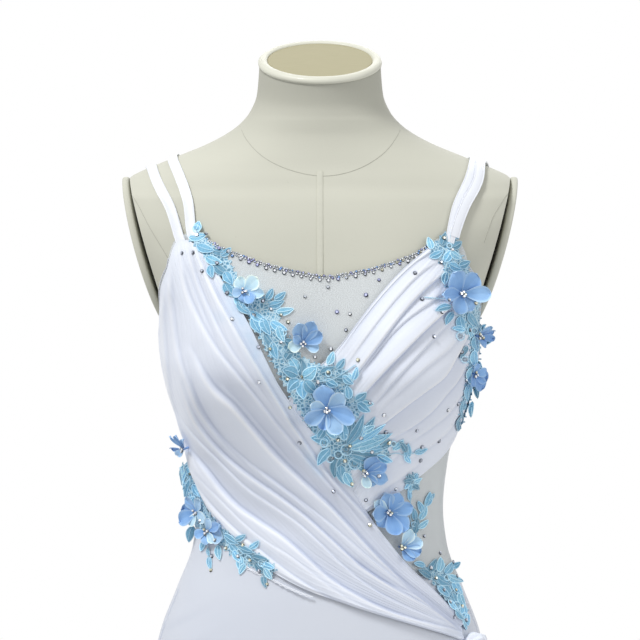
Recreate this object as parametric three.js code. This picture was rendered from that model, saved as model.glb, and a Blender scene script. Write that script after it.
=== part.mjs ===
// A lyrical dance dress worn by a limbless dress form on a round stand.
// Millimetres, +Z up, the front looks along -Y, and the origin is the middle of the stand's underside.
// Every cloth piece is placed by an angle around the form and a height above the floor, and is
// then moved out from the form's own surface, so that the layers lie on each other without touching.
import * as THREE from 'three';

// Driving sizes
const SEAM_GAP = 0.3;
const FORM_INSET = { cloth: 1.6, shoulder: 0.2, from: 1300, to: 1345 };
const SEWN_GAP = 0.35;
const SEWN_DROP = 2.4;
const SEWN_EDGE = 0.8;
const CLOTH_IN = 0.9;
const CLOTH_OUT = 2;
const DRAPE_IN = 3.3;
const DRAPE_THICK = 1.1;
const LACE_THICK = 1.2;
const LACE_CLEAR = 1.2;
const PETAL_THICK = 1;
const STRAP_WIDE = 10;
const STRAP_THICK = 1.2;
const HEM_HEIGHT = 350;
const FORM_BOTTOM = 790;
const NECK_TILT = 21;
const SIDE = 90 - 0.12;

// The form, one row for each height: half width, middle in depth, front and back depth, squareness
const FORM = [
  { height: 790, half: 166, middle: 0, front: 95, back: 112, square: 2.25 },
  { height: 870, half: 170, middle: 0, front: 99, back: 121, square: 2.25 },
  { height: 935, half: 157, middle: 0, front: 95, back: 110, square: 2.2 },
  { height: 980, half: 140, middle: 0, front: 90, back: 96, square: 2.15 },
  { height: 1025, half: 123.5, middle: 0, front: 83, back: 82, square: 2.1 },
  { height: 1062, half: 119.5, middle: 0, front: 80, back: 77, square: 2.1 },
  { height: 1110, half: 124, middle: 0, front: 87, back: 80, square: 2.15 },
  { height: 1150, half: 134, middle: 0, front: 98, back: 85, square: 2.25 },
  { height: 1190, half: 145, middle: 0, front: 108, back: 91, square: 2.35 },
  { height: 1217, half: 150, middle: 0, front: 112, back: 95, square: 2.4 },
  { height: 1240, half: 152, middle: 0, front: 112, back: 98, square: 2.4 },
  { height: 1265, half: 157.5, middle: 0, front: 110, back: 100, square: 2.4 },
  { height: 1290, half: 172, middle: 0, front: 107, back: 101, square: 2.35 },
  { height: 1320, half: 192, middle: 0, front: 102, back: 100, square: 2.3 },
  { height: 1350, half: 204, middle: 0, front: 96, back: 96, square: 2.2 },
  { height: 1368, half: 205, middle: 0, front: 91, back: 93, square: 2.1 },
  { height: 1380, half: 197, middle: 0, front: 86, back: 90, square: 2 },
  { height: 1390, half: 180, middle: -1, front: 82, back: 88, square: 2 },
  { height: 1400, half: 157, middle: -2, front: 78, back: 86, square: 2 },
  { height: 1410, half: 132, middle: -3, front: 75, back: 84, square: 2 },
  { height: 1419, half: 110, middle: -4, front: 72, back: 81, square: 2 },
  { height: 1429, half: 91, middle: -5, front: 69, back: 77, square: 2 },
  { height: 1438, half: 78.4, middle: -7, front: 66.5, back: 73, square: 2 },
  { height: 1450, half: 68, middle: -9, front: 63.5, back: 67, square: 2 },
  { height: 1467, half: 61, middle: -12, front: 60, back: 61, square: 2 },
  { height: 1500, half: 58, middle: -18, front: 58, back: 58, square: 2 },
];
const BUST = { side: 94, height: 1212, deep: 28, wide: 42, above: 58, below: 38 };

// The skirt leaves the form at the hip, and its flutes grow deeper towards the hem
const HIP_HEIGHT = 870;
const SKIRT = [
  { height: 350, half: 262, middle: 0, front: 216, back: 224, square: 2, flute: 24 },
  { height: 470, half: 239, middle: 0, front: 190, back: 199, square: 2, flute: 18 },
  { height: 580, half: 217, middle: 0, front: 164, back: 175, square: 2, flute: 12 },
  { height: 680, half: 197, middle: 0, front: 138, back: 151, square: 2.05, flute: 6.5 },
  { height: 760, half: 182, middle: 0, front: 117, back: 134, square: 2.12, flute: 2.5 },
  { height: 820, half: 173, middle: 0, front: 105, back: 125, square: 2.2, flute: 0.6 },
  { height: 870, half: 170, middle: 0, front: 99, back: 121, square: 2.25, flute: 0 },
  { height: 935, half: 157, middle: 0, front: 95, back: 110, square: 2.2, flute: 0 },
];
const FLUTES = [
  { count: 12, share: 0.72, turn: 20 },
  { count: 7, share: 0.28, turn: 75 },
];
const SEAM = { middle: 1046, slope: 56 };

// Upper edges of the bodice, front from side to side and back from centre to side
const FRONT_TOP = [
  [-90, 1234], [-71, 1269], [-48, 1307], [-41, 1331], [-36, 1337], [-32, 1342], [-30, 1334],
  [-24, 1324], [-12, 1310], [1, 1299], [12, 1306], [24, 1319], [30, 1332], [34, 1337],
  [38, 1333], [46, 1307], [71, 1270], [90, 1234],
];
const BACK_TOP = [[90, 1234], [110, 1224], [135, 1213], [160, 1207], [180, 1205]];

// Guides of the two drapes: each row follows one pleat, as five places of angle and height
const LONG_GUIDES = [
  [[-31, 1323], [-22, 1261], [-6, 1172], [23, 1063], [63, 956]],
  [[-33, 1327], [-28, 1249], [-10, 1157], [18, 1054], [62, 954]],
  [[-36, 1331], [-34, 1234], [-16, 1141], [14, 1045], [61, 952]],
  [[-40, 1329], [-42, 1218], [-22, 1126], [9, 1036], [61, 949]],
  [[-49, 1303], [-52, 1194], [-29, 1110], [5, 1028], [60, 947]],
  [[-70, 1266], [-66, 1170], [-37, 1094], [1, 1019], [59, 945]],
  [[-SIDE, 1222], [-78, 1140], [-47, 1077], [-3, 1010], [59, 942]],
  [[-SIDE, 1125], [-74, 1092], [-54, 1058], [-8, 1001], [58, 940]],
];
const BUST_GUIDES = [
  [[28.5, 1326], [22, 1307], [15, 1279], [3, 1229], [-11, 1180]],
  [[36, 1324], [29, 1290], [19, 1258], [8, 1216], [-5, 1156]],
  [[45, 1302], [38, 1260], [24, 1231], [12, 1193], [-1, 1126]],
  [[68, 1266], [50, 1232], [31, 1205], [19, 1162], [6, 1094]],
  [[SIDE, 1215], [62, 1192], [42, 1168], [27, 1133], [11, 1081]],
  [[SIDE, 1148], [70, 1125], [52, 1108], [38, 1092], [17, 1068]],
];
// Ridges: place across the drape from its upper edge, width as a share, height, and where it runs
const LONG_FOLDS = [
  { across: 0.12, wide: 0.02, high: 2.2, from: 0, to: 1 },
  { across: 0.25, wide: 0.03, high: 2, from: 0.05, to: 1 },
  { across: 0.4, wide: 0.028, high: 2.8, from: 0, to: 1 },
  { across: 0.53, wide: 0.026, high: 2.4, from: 0.2, to: 1 },
  { across: 0.66, wide: 0.03, high: 3, from: 0, to: 1 },
  { across: 0.79, wide: 0.028, high: 2.6, from: 0.1, to: 1 },
  { across: 0.92, wide: 0.03, high: 2.2, from: 0.25, to: 1 },
];
const BUST_FOLDS = [
  { across: 0.03, wide: 0.025, high: 1.6, from: 0, to: 0.9 },
  { across: 0.16, wide: 0.032, high: 2.4, from: 0, to: 0.9 },
  { across: 0.3, wide: 0.035, high: 3, from: 0, to: 0.85 },
  { across: 0.44, wide: 0.035, high: 2.6, from: 0.1, to: 0.9 },
  { across: 0.58, wide: 0.035, high: 3.2, from: 0, to: 0.85 },
  { across: 0.73, wide: 0.035, high: 2.8, from: 0.15, to: 0.85 },
  { across: 0.88, wide: 0.035, high: 2.4, from: 0.2, to: 0.85 },
];
const LONG_LIFT = { out: 2.6, full: 0.15, gone: 0.32 };

// Straps, from the bodice over the shoulder to the back edge
const STRAPS = [
  { name: 'strap_left_outer', out: 0.9, path: [[-38.7, 1335.2], [-42, 1361], [-50, 1379], [-72, 1395],
    [-92, 1397], [-112, 1391], [-130, 1370], [-139, 1330], [-142, 1270], [-143, 1213]] },
  { name: 'strap_left_inner', out: 0.9, path: [[-34, 1341.1], [-36, 1367], [-45, 1387], [-70, 1403],
    [-92, 1406], [-114, 1401], [-136, 1380], [-147, 1330], [-152, 1270], [-154, 1211]] },
  { name: 'strap_right_under', out: 0.9, path: [[35, 1337.8], [37.5, 1362], [47, 1384], [71, 1400.5],
    [92, 1403], [114, 1398], [136, 1377], [147, 1330], [152, 1270], [154, 1211]] },
  { name: 'strap_right_over', out: 2.6, path: [[36.5, 1341], [40.5, 1362], [50.5, 1381], [73, 1397],
    [92, 1399], [112, 1393], [130, 1371], [139, 1330], [142, 1270], [143, 1217]] },
];

// Fabric flowers: place, radius, turn in its plane and tilt of its face to the right and up
const FLOWERS = [
  { name: 'flower_neck', around: -19, height: 1285, radius: 17, turn: 20, right: 10, up: 10 },
  { name: 'flower_chest', around: -4, height: 1240, radius: 18, turn: 0, right: 5, up: -25 },
  { name: 'flower_middle', around: 2.2, height: 1175, radius: 26, turn: 8, right: 0, up: 0 },
  { name: 'flower_waist_small', around: 20, height: 1109, radius: 17, turn: 40, right: 15, up: -20 },
  { name: 'flower_waist', around: 33, height: 1069, radius: 23, turn: 30, right: -10, up: 0 },
  { name: 'flower_hip', around: 42, height: 1031, radius: 14, turn: 15, right: 20, up: 25 },
  { name: 'flower_bust', around: 51, height: 1280, radius: 25, turn: 12, right: -18, up: 0 },
  { name: 'flower_arm', around: 87, height: 1226, radius: 9, turn: 0, right: 0, up: 0 },
  { name: 'flower_side', around: 84, height: 1182, radius: 16, turn: 25, right: 0, up: -10 },
  { name: 'flower_left_side', around: -86, height: 1108, radius: 13, turn: 10, right: 0, up: 0 },
  { name: 'flower_left_waist', around: -79, height: 1058, radius: 20, turn: 0, right: 20, up: 5 },
  { name: 'flower_left_hip', around: -60, height: 1046, radius: 17, turn: 30, right: 10, up: -20 },
];

// Lace motifs: place, radius, lobes, stretch along the height, turn, and eyelets in the lobes
const LACE = [
  { name: 'lace_strap_left', around: -35, height: 1332, radius: 11, lobes: 5, stretch: 1, turn: 0 },
  { name: 'lace_neck_left', around: -28, height: 1313, radius: 9, lobes: 4, stretch: 1, turn: 20 },
  { name: 'lace_neck_low', around: -22.5, height: 1297, radius: 7, lobes: 4, stretch: 1, turn: 45 },
  { name: 'lace_chest_upper', around: -13, height: 1265, radius: 12, lobes: 5, stretch: 1.1, turn: 10 },
  { name: 'lace_chest_lower', around: -11, height: 1239, radius: 10, lobes: 4, stretch: 1.2, turn: 30 },
  { name: 'lace_chest_star', around: -3.5, height: 1208, radius: 19, lobes: 5, stretch: 1, turn: 18,
    eyelets: true },
  { name: 'lace_bud_upper', around: 8, height: 1214, radius: 8, lobes: 3, stretch: 1.3, turn: 0 },
  { name: 'lace_bud_lower', around: 13.5, height: 1187, radius: 8, lobes: 4, stretch: 1, turn: 0 },
  { name: 'lace_fan', around: 11, height: 1144, radius: 25, lobes: 6, stretch: 0.85, turn: 0,
    eyelets: true },
  { name: 'lace_sprig', around: 46, height: 1134, radius: 9, lobes: 3, stretch: 1.2, turn: 60 },
  { name: 'lace_rosette', around: 45.5, height: 1093, radius: 10, lobes: 6, stretch: 1, turn: 0 },
  { name: 'lace_twig', around: 54, height: 1062, radius: 10, lobes: 4, stretch: 1.8, turn: 45 },
  { name: 'lace_hip_upper', around: 61, height: 1003, radius: 13, lobes: 5, stretch: 1.1, turn: 10 },
  { name: 'lace_hip_lower', around: 68, height: 976, radius: 12, lobes: 5, stretch: 1.2, turn: 40 },
  { name: 'lace_strap_right', around: 33.5, height: 1333, radius: 10, lobes: 5, stretch: 1, turn: 0 },
  { name: 'lace_bust_upper', around: 39, height: 1314, radius: 8, lobes: 4, stretch: 1, turn: 20 },
  { name: 'lace_bust_side', around: 62, height: 1243, radius: 12, lobes: 5, stretch: 1.4, turn: 0 },
  { name: 'lace_bust_low', around: 66, height: 1210, radius: 9, lobes: 3, stretch: 1.3, turn: 0 },
  { name: 'lace_armhole', around: 83, height: 1148, radius: 8, lobes: 4, stretch: 1.8, turn: 45 },
  { name: 'lace_left_side', around: -84, height: 1086, radius: 9, lobes: 5, stretch: 1.3, turn: 0 },
  { name: 'lace_left_hip', around: -73, height: 1028, radius: 10, lobes: 4, stretch: 1.5, turn: 45 },
  { name: 'lace_edge_upper', around: -39, height: 1026, radius: 12, lobes: 5, stretch: 1, turn: 15 },
  { name: 'lace_edge_lower', around: -27, height: 1010, radius: 9, lobes: 4, stretch: 1, turn: 30 },
];

// Knot at the hip, the two ends that fall from it, and the stand
const KNOT = { around: 70.6, height: 940, wide: 17, high: 15, deep: 9, out: 11.4, wraps: 5, swell: 0.09 };
const TAILS = [
  { name: 'tail_front', top: 68.5, bottom: 62, topHalf: 3.6, bottomHalf: 8, from: 930, to: 520, waves: 3 },
  { name: 'tail_side', top: 76.2, bottom: 81, topHalf: 3.4, bottomHalf: 8.5, from: 930, to: 575, waves: 2 },
];
const ARM = { cut: 1244, at: 179.1, level: 1370, lean: 0.2707, low: 1246, high: 1387, depth: 50, thick: 7.5,
  nearEdge: 1.4, bow: 3.2 };
const CAP = { rise: 7, rim: 5, dish: 2 };
const STAND = { baseRadius: 200, baseHigh: 14, hubRadius: 32, hubHigh: 60, poleRadius: 14 };

// Finishes
const FINISH = {
  linen: { color: '#d2d1c4', roughness: 0.85 },
  cap: { color: '#c8c1a0', roughness: 0.6 },
  mesh: { color: '#cfd1d2', roughness: 0.8 },
  cloth: { color: '#e6e9f4', roughness: 0.6 },
  strap: { color: '#f4f5fa', roughness: 0.45 },
  petal: { color: '#8fb4e8', roughness: 0.55 },
  lace: { color: '#6fbcd6', roughness: 0.7 },
  steel: { color: '#c9cbcc', roughness: 0.3, metalness: 1 },
};

const group = new THREE.Group();
const rad = THREE.MathUtils.degToRad;
const smooth = (low, high, at) => THREE.MathUtils.smoothstep(at, low, high);
const lerp = THREE.MathUtils.lerp;

// Smooth reading of a table whose rows rise in height
function slopes(rows, key) {
  const rise = rows.slice(1).map((row, i) => (row[key] - rows[i][key]) / (row.height - rows[i].height));
  return rows.map((row, i) => {
    if (i === 0) return rise[0];
    if (i === rows.length - 1) return rise[i - 1];
    const [a, b] = [rise[i - 1], rise[i]];
    return a * b <= 0 ? 0 : (2 * a * b) / (a + b);
  });
}

function tableReader(rows) {
  const keys = Object.keys(rows[0]).filter((key) => key !== 'height');
  const slope = Object.fromEntries(keys.map((key) => [key, slopes(rows, key)]));
  return (height) => {
    const at = THREE.MathUtils.clamp(height, rows[0].height, rows[rows.length - 1].height);
    let i = 0;
    while (i < rows.length - 2 && at > rows[i + 1].height) i += 1;
    const step = rows[i + 1].height - rows[i].height;
    const t = (at - rows[i].height) / step;
    const read = (key) => (1 + 2 * t) * (1 - t) ** 2 * rows[i][key]
      + t * (1 - t) ** 2 * step * slope[key][i]
      + t * t * (3 - 2 * t) * rows[i + 1][key]
      + t * t * (t - 1) * step * slope[key][i + 1];
    return Object.fromEntries(keys.map((key) => [key, read(key)]));
  };
}

const readForm = tableReader(FORM);
const readSkirt = tableReader(SKIRT);
const signedPower = (value, power) => Math.sign(value) * Math.abs(value) ** power;

// Point of a section at an angle from the front, swelled by the bust
function sectionPoint(row, around, height, flute = 0) {
  const [s, c] = [Math.sin(rad(around)), Math.cos(rad(around))];
  const depth = c > 0 ? row.front : row.back;
  const x = (row.half + flute) * signedPower(s, 2 / row.square);
  let y = row.middle - (depth + flute) * signedPower(c, 2 / row.square);
  if (c > 0) {
    const rise = height > BUST.height ? BUST.above : BUST.below;
    const swell = (side) => Math.exp(-(((x - side * BUST.side) / BUST.wide) ** 2) / 2
      - (((height - BUST.height) / rise) ** 2) / 2);
    y -= BUST.deep * (swell(-1) + swell(1)) * Math.sqrt(c);
  }
  return new THREE.Vector3(x, y, height);
}

function garmentPoint(around, height) {
  if (height >= HIP_HEIGHT) return sectionPoint(readForm(height), around, height);
  const row = readSkirt(height);
  const wave = FLUTES.reduce((sum, flute) => sum
    + flute.share * Math.cos(rad(flute.count * around + flute.turn)), 0);
  return sectionPoint(row, around, height, row.flute * wave);
}

function outward(around, height) {
  const turn = garmentPoint(around + 0.1, height).sub(garmentPoint(around - 0.1, height));
  const climb = garmentPoint(around, height + 1).sub(garmentPoint(around, height - 1));
  return turn.cross(climb).normalize();
}

const onGarment = (around, height, out) => garmentPoint(around, height)
  .addScaledVector(outward(around, height), out);

// Height at an angle along an edge given by a short list
function edgeHeight(edge, around) {
  let i = 0;
  while (i < edge.length - 2 && around > edge[i + 1][0]) i += 1;
  const t = THREE.MathUtils.clamp((around - edge[i][0]) / (edge[i + 1][0] - edge[i][0]), 0, 1);
  return lerp(edge[i][1], edge[i + 1][1], t);
}

const seamHeight = (around) => SEAM.middle - SEAM.slope * Math.sin(rad(around));

// One closed body from a grid of points: side 0 is the outside, side 1 the inside
function wall({ rows, columns, at, keep = () => true, round = false, pole = false }) {
  const places = [];
  const known = new Map();
  const corner = (row, column, side) => {
    const j = (round ? column % columns : column) * (pole && row === 0 ? 0 : 1);
    const key = `${row},${j},${side}`;
    if (!known.has(key)) {
      known.set(key, known.size);
      places.push(at(row, j, side));
    }
    return known.get(key);
  };
  const faces = [];
  const triangle = (a, b, c) => {
    if (a !== b && b !== c && a !== c) faces.push(a, b, c);
  };
  const quad = (a, b, c, d) => {
    triangle(a, b, c);
    triangle(a, c, d);
  };
  const kept = (row, column) => {
    if (row < 0 || row >= rows) return false;
    if (round) return keep(row, (column + columns) % columns);
    return column >= 0 && column < columns && keep(row, column);
  };
  for (let row = 0; row < rows; row += 1) {
    for (let column = 0; column < columns; column += 1) {
      if (!kept(row, column)) continue;
      const ring = [[row, column], [row, column + 1], [row + 1, column + 1], [row + 1, column]];
      const beyond = [[row - 1, column], [row, column + 1], [row + 1, column], [row, column - 1]];
      const [outer, inner] = [0, 1].map((side) => ring.map(([i, j]) => corner(i, j, side)));
      quad(...outer);
      quad(...[...inner].reverse());
      beyond.forEach(([i, j], k) => {
        const next = (k + 1) % 4;
        const closed = kept(i, j) || (pole && i < 0);
        if (!closed) quad(outer[next], outer[k], inner[k], inner[next]);
      });
    }
  }
  return solid(places, faces);
}

// One closed body from rings of points, with a fan at each end
function loft(rings) {
  const count = rings[0].length;
  const places = rings.flat();
  const faces = [];
  for (let i = 0; i < rings.length - 1; i += 1) {
    for (let j = 0; j < count; j += 1) {
      const [a, b] = [i * count + j, i * count + ((j + 1) % count)];
      faces.push(a, b, b + count, a, b + count, a + count);
    }
  }
  [[rings[0], 0, true], [rings[rings.length - 1], (rings.length - 1) * count, false]]
    .forEach(([ring, start, first]) => {
      const hub = places.length;
      places.push(ring.reduce((sum, p) => sum.add(p), new THREE.Vector3()).divideScalar(count));
      for (let j = 0; j < count; j += 1) {
        const [a, b] = [start + j, start + ((j + 1) % count)];
        faces.push(...(first ? [hub, b, a] : [hub, a, b]));
      }
    });
  return solid(places, faces);
}

// Geometry whose faces point outwards
function solid(places, faces) {
  let volume = 0;
  for (let i = 0; i < faces.length; i += 3) {
    const [a, b, c] = [places[faces[i]], places[faces[i + 1]], places[faces[i + 2]]];
    volume += a.dot(new THREE.Vector3().crossVectors(b, c));
  }
  const order = volume > 0 ? faces : [...faces].reverse();
  const geometry = new THREE.BufferGeometry();
  const values = places.flatMap((p) => [p.x, p.y, p.z]);
  geometry.setAttribute('position', new THREE.Float32BufferAttribute(values, 3));
  geometry.setIndex(order);
  geometry.computeVertexNormals();
  return geometry;
}

function add(name, geometry, finish) {
  const mesh = new THREE.Mesh(geometry, new THREE.MeshStandardMaterial(FINISH[finish]));
  mesh.name = name;
  group.add(mesh);
}

// The form: torso cut flat at the armholes, tilted neck top, cap and arm plates
const armPlane = (height) => ARM.at + (height - ARM.level) * ARM.lean;

function torsoRing(height, columns, tilt = 0) {
  return Array.from({ length: columns }, (_, j) => {
    const around = (360 * j) / columns;
    const row = readForm(height);
    const p = sectionPoint(row, around, height);
    const inset = lerp(FORM_INSET.cloth, FORM_INSET.shoulder, smooth(FORM_INSET.from, FORM_INSET.to, height));
    const shrink = 1 - inset / row.front;
    p.x *= shrink;
    p.y = row.middle + (p.y - row.middle) * shrink;
    if (height > ARM.cut) p.x = THREE.MathUtils.clamp(p.x, -armPlane(height), armPlane(height));
    p.z += (p.y - row.middle) * Math.tan(rad(tilt));
    return p;
  });
}

function torso() {
  const columns = 36;
  const heights = [790, 870, 905, 940, 980, 1020, 1060, 1100, 1140, 1175, 1205, 1235, 1243.5, 1244.5,
    1265, 1290, 1320, 1348, 1368, 1382, 1394, 1405, 1418, 1430, 1442];
  const neck = [[1465, 0.45], [1500, 1]];
  add('form_torso', loft([
    ...heights.map((height) => torsoRing(height, columns)),
    ...neck.map(([height, share]) => torsoRing(height, columns, NECK_TILT * share)),
  ]), 'linen');
}

function neckCap() {
  const columns = 28;
  const top = torsoRing(1500, columns, NECK_TILT);
  const hub = top.reduce((sum, p) => sum.add(p), new THREE.Vector3()).divideScalar(columns);
  const up = new THREE.Vector3(0, Math.sin(rad(-NECK_TILT)), Math.cos(rad(NECK_TILT)));
  const ring = (grow, rise) => top.map((p) => {
    const spoke = p.clone().sub(hub);
    return p.clone().addScaledVector(spoke.normalize(), grow).addScaledVector(up, rise);
  });
  add('form_neck_cap', loft([
    ring(0, SEAM_GAP), ring(2, 1), ring(2.6, CAP.rise / 2), ring(1.6, CAP.rise - 1),
    ring(-CAP.rim / 2, CAP.rise), ring(-CAP.rim - 2, CAP.rise - CAP.dish),
  ]), 'cap');
}

// Oval plate bowed away from the armhole, touching it at its middle by a round boss
function armPlate(name, side) {
  const columns = 24;
  const middle = (ARM.low + ARM.high) / 2;
  const slope = Math.hypot(1, ARM.lean);
  const half = ((ARM.high - ARM.low) / 2) * slope;
  const face = (share, out) => Array.from({ length: columns }, (_, j) => {
    const turn = (2 * Math.PI * j) / columns;
    const up = half * share * Math.sin(turn);
    const y = -ARM.depth * share * Math.cos(turn) - 2;
    const height = middle + up / slope;
    const bow = ARM.nearEdge + ARM.bow * (1 - share * share * Math.sin(turn) ** 2);
    const reach = armPlane(height) + (out === 'boss' ? SEAM_GAP : bow + out);
    return new THREE.Vector3(side * reach, y, height);
  });
  add(name, loft([
    face(0.2, 'boss'), face(0.22, 0), face(0.7, 0), face(1, 1), face(1, ARM.thick - 2),
    face(0.94, ARM.thick - 0.3), face(0.5, ARM.thick + 0.8),
  ]), 'linen');
}

// Stand: one turned base with its hub, and the pole that carries the form
function turned(profile, sides = 28) {
  return new THREE.LatheGeometry(profile.map(([r, z]) => new THREE.Vector2(r, z)), sides)
    .rotateX(Math.PI / 2);
}

function stand() {
  const { baseRadius, baseHigh, hubRadius, hubHigh, poleRadius } = STAND;
  add('stand_base', weld(turned([[0, 0], [baseRadius - 2, 0], [baseRadius, 2], [baseRadius, baseHigh - 4],
    [baseRadius - 5, baseHigh], [hubRadius + 6, baseHigh + 2], [hubRadius, baseHigh + 10],
    [hubRadius - 6, hubHigh], [0, hubHigh]])), 'steel');
  add('stand_pole', weld(turned([[0, hubHigh + SEAM_GAP], [poleRadius, hubHigh + SEAM_GAP],
    [poleRadius, FORM_BOTTOM - SEAM_GAP], [0, FORM_BOTTOM - SEAM_GAP]], 20)), 'steel');
}

// Turned shapes meet on the axis, so their doubled points are made one
function weld(geometry) {
  const position = geometry.getAttribute('position');
  const index = geometry.getIndex();
  const known = new Map();
  const places = [];
  const same = Array.from({ length: position.count }, (_, i) => {
    const p = new THREE.Vector3().fromBufferAttribute(position, i);
    const key = [p.x, p.y, p.z].map((value) => Math.round(value * 1000)).join();
    if (!known.has(key)) {
      known.set(key, places.length);
      places.push(p);
    }
    return known.get(key);
  });
  const faces = [];
  for (let i = 0; i < index.count; i += 3) {
    const [a, b, c] = [0, 1, 2].map((k) => same[index.getX(i + k)]);
    if (a !== b && b !== c && a !== c) faces.push(a, b, c);
  }
  return solid(places, faces);
}

// Bodice base and skirt: plain walls between their edges
function panel(name, finish, { from, to, columns, rows, low, high }) {
  add(name, wall({
    rows,
    columns,
    at: (row, column, side) => {
      const around = lerp(from, to, column / columns);
      const height = lerp(low(around), high(around), row / rows);
      return onGarment(around, height, side ? CLOTH_IN : CLOTH_OUT);
    },
  }), finish);
}

function bodice() {
  panel('front_mesh', 'mesh', { from: -SIDE, to: SIDE, columns: 28, rows: 12,
    low: (around) => seamHeight(around) + SEAM_GAP, high: (around) => edgeHeight(FRONT_TOP, around) });
  panel('back_bodice', 'cloth', { from: 180 - SIDE, to: 180 + SIDE, columns: 20, rows: 6,
    low: (around) => seamHeight(around) + SEAM_GAP,
    high: (around) => edgeHeight(BACK_TOP, 180 - Math.abs(around - 180)) });
}

// The skirt's rows stand closer where it bends over the hip and the waist
function skirt() {
  const below = [HEM_HEIGHT, 460, 560, 650, 735, 810];
  const above = 8;
  const rows = below.length + above;
  const columns = 27;
  const levelAt = (row, top) => (row < below.length
    ? below[row] : lerp(HIP_HEIGHT, top, (row - below.length) / above));
  // The front is laid out from the hem at its first side, the back from the seam at its last
  [['skirt_front', 0, 1], ['skirt_back', 180, -1]].forEach(([name, middle, way]) => {
    add(name, wall({
      rows,
      columns,
      at: (row, column, side) => {
        const around = middle + way * SIDE * ((2 * column) / columns - 1);
        const height = levelAt(way > 0 ? row : rows - row, seamHeight(around));
        return onGarment(around, height, side ? CLOTH_IN : CLOTH_OUT);
      },
    }), 'cloth');
  });
}

// Smooth place on a drape from its guides, and the height of its folds there
function spline(values, at) {
  const x = THREE.MathUtils.clamp(at, 0, 1) * (values.length - 1);
  const i = Math.min(Math.floor(x), values.length - 2);
  const t = x - i;
  const pick = (k) => values[THREE.MathUtils.clamp(k, 0, values.length - 1)];
  const [a, b, c, d] = [pick(i - 1), pick(i), pick(i + 1), pick(i + 2)];
  return 0.5 * (2 * b + (c - a) * t + (2 * a - 5 * b + 4 * c - d) * t * t
    + (3 * b - a - 3 * c + d) * t ** 3);
}

const guidePlace = (guides, along, across) => [0, 1]
  .map((k) => spline(guides.map((row) => spline(row.map((place) => place[k]), along)), across));

function foldHeight(folds, along, across) {
  return folds.reduce((sum, fold) => {
    const run = smooth(fold.from - 0.01, fold.from + 0.15, along + (fold.from === 0 ? 0.15 : 0))
      * (1 - smooth(fold.to - 0.15, fold.to, along - (fold.to === 1 ? 0.15 : 0)));
    return sum + fold.high * run * Math.exp(-(((across - fold.across) / fold.wide) ** 2) / 2);
  }, 0);
}

// Out from the form: near its first edge a drape is sewn down on the mesh
const drapeBase = (along) => lerp(CLOTH_OUT + SEWN_EDGE, DRAPE_IN, smooth(0, 0.06, along));
const longOut = (along, across) => drapeBase(along) + foldHeight(LONG_FOLDS, along, across)
  + LONG_LIFT.out * (1 - smooth(LONG_LIFT.full, LONG_LIFT.gone, across));
const bustOut = (along, across) => drapeBase(along) + foldHeight(BUST_FOLDS, along, across);

function drape(name, guides, outAt, rows, columns) {
  add(name, wall({
    rows,
    columns,
    at: (row, column, side) => {
      const [along, across] = [row / rows, column / columns];
      const [around, height] = guidePlace(guides, along, across);
      return onGarment(around, height, outAt(along, across) + (side ? 0 : DRAPE_THICK));
    },
  }), 'cloth');
}

// How far out the topmost drape stands near a place, so that trimmings clear it
const coverSamples = [[LONG_GUIDES, longOut], [BUST_GUIDES, bustOut]].flatMap(([guides, outAt]) => {
  const steps = 40;
  return Array.from({ length: (steps + 1) ** 2 }, (_, k) => {
    const [along, across] = [(k % (steps + 1)) / steps, Math.floor(k / (steps + 1)) / steps];
    const [around, height] = guidePlace(guides, along, across);
    return { point: garmentPoint(around, height), out: outAt(along, across) + DRAPE_THICK };
  });
});

function coverAt(around, height, reach = 0) {
  const here = garmentPoint(around, height);
  return coverSamples.reduce((most, sample) => {
    const away = sample.point.distanceTo(here) - reach;
    if (away > 14) return most;
    return Math.max(most, lerp(sample.out, CLOTH_OUT, smooth(6, 14, away)));
  }, CLOTH_OUT);
}

// Where a trimming is sewn down: just above the topmost piece already made at a place
function sewnPoint(around, height) {
  const far = 40;
  const normal = outward(around, height);
  const ray = new THREE.Raycaster(onGarment(around, height, far), normal.clone().negate());
  const [hit] = ray.intersectObjects(group.children, false);
  return hit.point.addScaledVector(normal, SEWN_GAP);
}

// Angle and height at a sideways and upward distance from a place
function besides(around, height, sideways, upwards) {
  const perDegree = garmentPoint(around + 1, height).distanceTo(garmentPoint(around - 1, height)) / 2;
  return [around + sideways / perDegree, height + upwards];
}

function laceMotif({ name, around, height, radius, lobes, stretch, turn, eyelets = false }) {
  const perLobe = eyelets ? 4 : 3;
  const columns = lobes * perLobe;
  const plain = radius > 10 ? [0, 0.55, 1] : [0, 1];
  const shares = eyelets ? [0, 0.34, 0.7, 1] : plain;
  const notch = 0.42;
  const under = onGarment(around, height, coverAt(around, height) + LACE_CLEAR);
  const down = sewnPoint(around, height).sub(under);
  const foot = under.add(down.clampLength(0, SEWN_DROP));
  add(name, wall({
    rows: shares.length - 1,
    columns,
    round: true,
    pole: true,
    keep: (row, column) => !(eyelets && row === 1 && (column % perLobe === 0 || column % perLobe === 3)),
    at: (row, column, side) => {
      if (row === 0 && side) return foot;
      const angle = (2 * Math.PI * column) / columns;
      const tip = Math.abs(Math.cos((lobes * angle) / 2)) ** 0.8;
      const far = radius * shares[row] * (row === shares.length - 1 ? 1 - notch * (1 - tip) : 1);
      const spin = angle + rad(turn);
      const [u, z] = besides(around, height, far * Math.cos(spin), far * Math.sin(spin) * stretch);
      return onGarment(u, z, coverAt(u, z) + LACE_CLEAR + (side ? 0 : LACE_THICK));
    },
  }), 'lace');
}

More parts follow.
